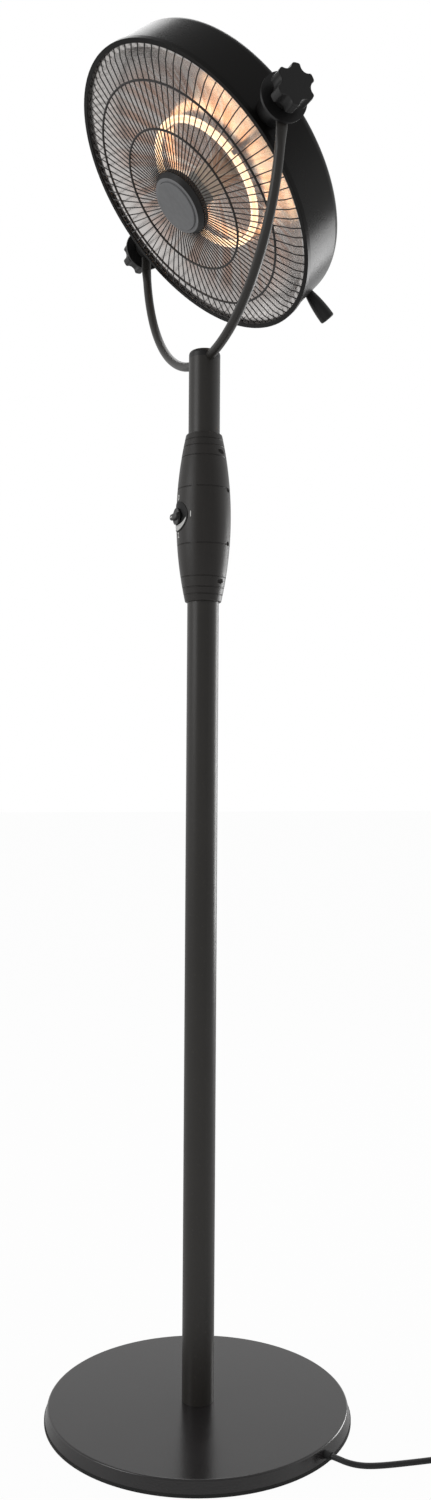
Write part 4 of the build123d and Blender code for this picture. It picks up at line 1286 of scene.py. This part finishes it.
@dataclass
class HeaterHead:
    """The round head: drum, reflector, ring lamp, wire guard, pivots and handle."""

    wire_line: tuple[Point, ...] = (
        (0.19734, 0.0, 0.0230),
        (0.18534, 0.0, 0.0295),
        (0.12384, 0.0, 0.0400),
        (0.0427, 0.0, 0.0485),
    )
    wire_bends: tuple[float, ...] = (0.0, 0.009, 1.0, 0.0)
    wire_count: int = 90
    wire_radius: float = 0.0008
    wire_sides: int = 8
    lamp_ring: float = 0.088
    lamp_bend: float = 0.010
    lamp_leg: float = 0.012
    lamp_start: float = -0.026
    ring_steps: int = 84
    bend_steps: int = 6
    coil_radius: float = 0.0017
    coil_wire: float = 0.00045
    coil_turn: float = 0.0022
    coil_sides: int = 5
    steps_per_turn: int = 8

    def rest(self) -> Matrix:
        """Return the matrix that takes the head's own frame to its place at rest."""
        return Matrix.Translation(HEAD_CENTRE) @ Matrix.Rotation(HEAD_TURN[0], 4, "X")

    def build(self) -> None:
        """Make the guard's wires and the lamp's coil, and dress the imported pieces."""
        self.add_guard()
        self.add_coil()
        dress(DRUM_POWDER, "drum_shell", "rim_bezel")
        dress(ALUMINIUM, "reflector")
        dress(GUARD_POWDER, "grille_hoop", "grille_outer_ring", "grille_inner_ring")
        dress(CAP_EDGE, "cap_bezel")
        dress(CAP_PLASTIC, "cap_disc")
        dress(QUARTZ, "lamp_tube")
        dress(CERAMIC, "lamp_holder")
        dress(STEEL, "lamp_clips", "lamp_mount_spacers", "lamp_mount_screws", "handle_screw")
        dress(STEEL, "pivot_stud_right", "pivot_stud_left")
        dress(KNOB_PLASTIC, "pivot_spacer_right", "pivot_spacer_left", "clamp_disc_right")
        dress(KNOB_PLASTIC, "clamp_disc_left", "star_knob_right", "star_knob_left", "tilt_handle")

    def add_guard(self) -> None:
        """Bend one wire and set it round the head as often as the guard has wires."""
        tree = GeometryMaker("radial wires", Wire_count="Int", Wire_radius="Float")
        line = tree.node("GeometryNodeMeshToCurve", None, {0: tree.given("Geometry")})
        bend = tree.node("GeometryNodeInputNamedAttribute", {"data_type": "FLOAT"}, {0: "bend"})
        sockets = {"Curve": line, "Count": 4, "Radius": bend, "Limit Radius": True}
        bent = tree.node("GeometryNodeFilletCurve", {"mode": "POLY"}, sockets)
        wire = tree.smoothed(tree.tube(bent, tree.given("Wire radius"), self.wire_sides))
        count = tree.given("Wire count")
        spots = tree.node("GeometryNodePoints", None, {"Count": count})
        angle = tree.node("GeometryNodeInputIndex") * (2 * math.pi / count)
        tree.end_on_points(spots, wire, Rotation=tree.vector(z=angle))
        mesh = tree.run(
            line_mesh(self.wire_line, self.wire_bends),
            Wire_count=self.wire_count,
            Wire_radius=self.wire_radius,
            Finish=GUARD_POWDER.material(),
        )
        mesh.transform(self.rest())
        finish = GUARD_POWDER
        add_piece("guard_wires", mesh, Body.HEAD, Slot.GUARD_WIRE, finish, "grille_spokes")

    def lamp_line(self) -> list[Point]:
        """Return the middle line of the ring lamp, in the head's own frame.

        Returns:
            Its points in order, from one of its two legs to the other.
        """
        centre_y = self.lamp_leg + self.lamp_bend
        centre_x = -math.sqrt((self.lamp_ring - self.lamp_bend) ** 2 - centre_y**2)
        join = math.atan2(centre_y, centre_x)
        steps = self.ring_steps
        ring = [join * (1 - 2 * step / steps) for step in range(steps + 1)]
        arc = [(self.lamp_ring * math.cos(a), self.lamp_ring * math.sin(a), 0.0) for a in ring]
        start = 1.5 * math.pi
        steps = self.bend_steps
        turns = [start + (join - start) * step / steps for step in range(steps)]
        bend = [
            (centre_x + self.lamp_bend * math.cos(a), centre_y + self.lamp_bend * math.sin(a), 0.0)
            for a in turns
        ]
        first = [(self.lamp_start, self.lamp_leg, 0.0), *bend]
        last = [(x, -y, z) for x, y, z in reversed(first)]
        return [*first, *arc, *last]

    def add_coil(self) -> None:
        """Wind the heating wire along the lamp's middle line."""
        inputs = dict.fromkeys(("Coil_radius", "Wire_radius", "Turn_length"), "Float")
        tree = GeometryMaker("wound wire", **inputs)
        per_turn = self.steps_per_turn
        line = tree.node("GeometryNodeMeshToCurve", None, {0: tree.given("Geometry")})
        sockets = {"Curve": line, "Length": tree.given("Turn length") / per_turn}
        fine = tree.node("GeometryNodeResampleCurve", {"mode": "LENGTH"}, sockets)
        angle = tree.node("GeometryNodeInputIndex") * (2 * math.pi / per_turn)
        tangent = tree.node("GeometryNodeInputTangent")
        outward = tangent.worked("CROSS_PRODUCT", tangent, (0, 0, 1))
        radius = tree.given("Coil radius")
        sideways = outward * (angle.cosine() * radius)
        sockets = {"Geometry": fine, "Offset": sideways + tree.vector(z=angle.sine() * radius)}
        wound = tree.node("GeometryNodeSetPosition", None, sockets)
        tree.close(tree.smoothed(tree.tube(wound, tree.given("Wire radius"), self.coil_sides)))
        points = self.lamp_line()
        mesh = tree.run(
            line_mesh(points, [0.0] * len(points)),
            Coil_radius=self.coil_radius,
            Wire_radius=self.coil_wire,
            Turn_length=self.coil_turn,
            Finish=HOT_WIRE.material(),
        )
        mesh.transform(self.rest())
        add_piece("lamp_coil", mesh, Body.HEAD, Slot.HOT_WIRE, HOT_WIRE, "lamp_filament")


@dataclass
class MainsLead:
    """The mains lead outside the base: its run, neat coil, tie, tail and plug."""

    radius: float = 0.0035
    joint_reach: float = 0.190
    exit_reach: float = 0.206
    exit_angle: float = 30.0
    exit_height: float = 0.010
    length: float = 1.745
    coil_start: tuple[float, float] = (0.226, 0.268)
    coil_radius: float = 0.050
    coil_pitch: float = 0.0076
    half_turns_each: int = 6
    points_per_half: int = 6
    run: tuple[Point, ...] = (
        (0.1836, 0.1060, 0.0100),
        (0.1960, 0.1165, 0.0072),
        (0.2043, 0.1335, 0.0044),
        (0.2103, 0.1565, 0.0035),
        (0.2165, 0.1870, 0.0035),
        (0.2220, 0.2170, 0.0035),
        (0.2260, 0.2440, 0.0035),
        (0.2260, 0.2680, 0.0035),
    )
    tail: tuple[Point, ...] = (
        (0.2260, 0.2680, 0.0111),
        (0.2260, 0.2860, 0.0111),
        (0.2183, 0.3045, 0.0132),
        (0.2042, 0.3186, 0.0156),
        (0.1857, 0.3263, 0.0177),
        (0.1677, 0.3263, 0.0185),
    )
    tie_middle: tuple[float, float] = (0.2798, 0.2294)
    tie_half: float = 0.0114
    tie_height: float = 0.0149
    tie_bend: float = 0.0036
    tie_width: float = 0.0045
    tie_thickness: float = 0.0008
    lock_size: Point = (0.00675, 0.0060, 0.0030)
    lock_sunk: float = 0.0006
    plug_outline: tuple[tuple[float, float], ...] = (
        (0.0, 0.0),
        (0.0047, 0.0),
        (0.0055, 0.0008),
        (0.0067, 0.0090),
        (0.0095, 0.0170),
        (0.0135, 0.0200),
        (0.0163, 0.0212),
        (0.0179, 0.0232),
        (0.0185, 0.0255),
        (0.0185, 0.0310),
        (0.0175, 0.0325),
        (0.0171, 0.0370),
        (0.0171, 0.0430),
        (0.0175, 0.0470),
        (0.0185, 0.0485),
        (0.0185, 0.0550),
        (0.0175, 0.0560),
        (0.0155, 0.0560),
        (0.0149, 0.0552),
        (0.0, 0.0552),
    )
    plug_sides: int = 64
    grip_span: tuple[float, float] = (0.0320, 0.0475)
    grip_count: int = 16
    grip_depth: float = 0.0007
    neck_radius: float = 0.0055
    rib_count: int = 4
    rib_spacing: float = 0.0030
    rib_thickness: float = 0.0007

    def at_exit(self, reach: float) -> Point:
        """Return the point on the exit's line at a distance from the pole's axis."""
        angle = math.radians(self.exit_angle)
        return (reach * math.cos(angle), reach * math.sin(angle), self.exit_height)

    def build(self) -> None:
        plug = self.add_plug()
        ribs = self.add_ribs()
        tie = self.add_tie()
        dress(PIN_METAL, "plug_pins")
        lead = self.add_lead()

    def half_turns(self) -> list[tuple[float, float]]:
        """Return the coil's half turns.

        Returns:
            The radius and climb of each, in order.
        """
        step = self.coil_pitch / 2
        count = self.half_turns_each
        lower = [(self.coil_radius - step * number, 0.0) for number in range(count)]
        climbing = (self.coil_radius - step * count, self.coil_pitch)
        return [*lower, climbing, *lower[:0:-1]]

    def coil(self) -> list[Vector]:
        """Return the coil's control points, which lie just outside its line.

        Returns:
            The points, twelve for each turn.
        """
        points = []
        place = Vector((*self.coil_start, self.radius))
        steps = self.points_per_half
        reach = 1 / math.cos(math.pi / (2 * steps))
        for number, (radius, climb) in enumerate(self.half_turns()):
            side = 1 if number % 2 == 0 else -1
            centre = place + Vector((side * radius, 0.0, climb / 2))
            for step in range(steps):
                angle = math.pi * (step + 0.5) / steps
                back = -math.cos(angle) * reach
                bulge = side * radius * math.sin(angle) * reach
                points.append(centre + Vector((side * radius * back, bulge, climb / 2 * back)))
            place = place + Vector((side * 2 * radius, 0.0, climb))
        return points

    def add_lead(self) -> bpy.types.Object:
        """Make the lead as one smooth line.

        Returns:
            The lead's curve object.
        """
        points = [self.at_exit(self.joint_reach), *self.run, *self.coil(), *self.tail]
        data = bpy.data.curves.new("mains_lead", "CURVE")
        data.dimensions = "3D"
        spline = data.splines.new("NURBS")
        spline.points.add(len(points) - 1)
        for spot, point in zip(spline.points, points):
            spot.co = (*point, 1.0)
        spline.order_u = 3
        spline.use_endpoint_u = True
        spline.resolution_u = 6
        data.bevel_depth = self.radius
        data.bevel_resolution = 4
        data.use_fill_caps = True
        data.materials.append(JACKET.material())
        lead = placed("mains_lead", data)
        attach(lead, Body.STAND.value)
        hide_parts("cord_run", "cord_coil", "cord_tail")
        log.info("mains_lead: %d control points", len(points))
        return lead

    def tie_loop(self, lift: float, lowest: float) -> list[tuple[float, float]]:
        """Return the tie's outline round the turns.

        Args:
            lift: Its distance outside the tie's inner face.
            lowest: The height that it is squashed to below the turns.

        Returns:
            The distance across the turns and the height of each point.
        """
        steps = 8
        bend = self.tie_bend
        middle = self.tie_height / 2
        loop = []
        for quarter, (side, up) in enumerate(((1, 1), (-1, 1), (-1, -1), (1, -1))):
            for step in range(steps + 1):
                angle = math.pi / 2 * (quarter + step / steps)
                across = side * (self.tie_half - bend) + (bend + lift) * math.cos(angle)
                height = middle + up * (middle - bend) + (bend + lift) * math.sin(angle)
                loop.append((across, max(height, lowest)))
        return loop

    def add_tie(self) -> bpy.types.Object:
        """Make the tie that holds the coil: a thin band round its turns and a lock on top.

        Returns:
            The piece.
        """
        along, across = self.tie_middle
        half = self.tie_width / 2
        inner = self.tie_loop(0.0, self.tie_thickness * 0.6)
        outer = self.tie_loop(self.tie_thickness, 0.0)
        made = bmesh.new()
        rows = []
        for near, far in zip(inner, outer):
            spots = [(near, -half), (far, -half), (far, half), (near, half)]
            row = [(along + x, across + y, z) for (y, z), x in spots]
            rows.append([made.verts.new(spot) for spot in row])
        join_rows(made, [*rows, rows[0]])
        lock = bmesh.ops.create_cube(made, size=1.0)["verts"]
        top = self.tie_height + self.tie_thickness - self.lock_sunk + self.lock_size[2] / 2
        place = Matrix.Translation((along, across + self.tie_half * 0.3, top))
        size = Matrix.Diagonal((*self.lock_size, 1.0))
        bmesh.ops.transform(made, matrix=place @ size, verts=lock)
        edges = list({edge for corner in lock for edge in corner.link_edges})
        bmesh.ops.bevel(made, geom=edges, offset=0.0006, segments=3, profile=0.5, affect="EDGES")
        mesh = finished_mesh(made, "lead_tie")
        smooth(mesh, 50.0)
        return add_piece("lead_tie", mesh, Body.STAND, Slot.PLUG_PLASTIC, PLUG_PLASTIC)

    def plug_place(self) -> Matrix:
        """Return the place of the plug.

        Returns:
            The matrix that takes the plug's own frame, its axis along Z, there.
        """
        start = Vector(self.tail[-1])
        along = (start - Vector(self.tail[-2])).normalized()
        across = Vector((0.0, 1.0, 0.0))
        turn = Matrix((across, along.cross(across), along)).transposed().to_4x4()
        return Matrix.Translation(start) @ turn

    def add_plug(self) -> bpy.types.Object:
        """Make the plug's body: a tapered neck, a gripped waist and a flat face.

        Returns:
            The piece.
        """
        mesh = turned_mesh("plug", self.plug_outline, self.plug_sides)
        self.press_grips(mesh)
        mesh.transform(self.plug_place())
        smooth(mesh, 50.0)
        return add_piece("plug", mesh, Body.STAND, Slot.PLUG_PLASTIC, PLUG_PLASTIC, "plug_body")

    def press_grips(self, mesh: bpy.types.Mesh) -> None:
        """Press shallow flutes into the plug's waist, for the fingers.

        Args:
            mesh: The plug's mesh, in its own frame.
        """
        start, end = self.grip_span
        for corner in mesh.vertices:
            radius = math.hypot(corner.co.x, corner.co.y)
            if start < corner.co.z < end and radius > 0:
                flute = 0.5 - 0.5 * math.cos(self.grip_count * math.atan2(corner.co.y, corner.co.x))
                factor = (radius - self.grip_depth * flute) / radius
                corner.co.x *= factor
                corner.co.y *= factor

    def add_ribs(self) -> bpy.types.Object:
        """Make the ribs that let the plug's neck bend.

        Returns:
            The piece.
        """
        inputs = dict.fromkeys(("Rib_spacing", "Rib_radius", "Rib_thickness"), "Float")
        tree = GeometryMaker("neck ribs", Rib_count="Int", **inputs)
        sockets = {"Resolution": 32, "Radius": tree.given("Rib radius")}
        ring = tree.node("GeometryNodeCurvePrimitiveCircle", None, sockets)
        rib = tree.smoothed(tree.tube(ring, tree.given("Rib thickness"), 8))
        number = tree.node("GeometryNodeInputIndex")
        spot = tree.vector(z=(number + 0.6) * tree.given("Rib spacing"))
        sockets = {"Count": tree.given("Rib count"), "Position": spot}
        spots = tree.node("GeometryNodePoints", None, sockets)
        wider = 1 + number * 0.045
        tree.end_on_points(spots, rib, Scale=tree.vector(wider, wider, 1.0))
        mesh = tree.run(
            spot_mesh([(0.0, 0.0, 0.0)]),
            Rib_count=self.rib_count,
            Rib_spacing=self.rib_spacing,
            Rib_radius=self.neck_radius,
            Rib_thickness=self.rib_thickness,
            Finish=PLUG_PLASTIC.material(),
        )
        mesh.transform(self.plug_place())
        return add_piece("neck_ribs", mesh, Body.STAND, Slot.PLUG_PLASTIC, PLUG_PLASTIC)


def main() -> None:
    """Build the studio and every sub-assembly in order."""
    logging.basicConfig(level=logging.INFO, format="%(message)s")
    Studio().build()
    MainsLead().build()
    Base().build()
    Pole().build()
    ControlHousing().build()
    HeaterHead().build()


if __name__ == "__main__":
    main()
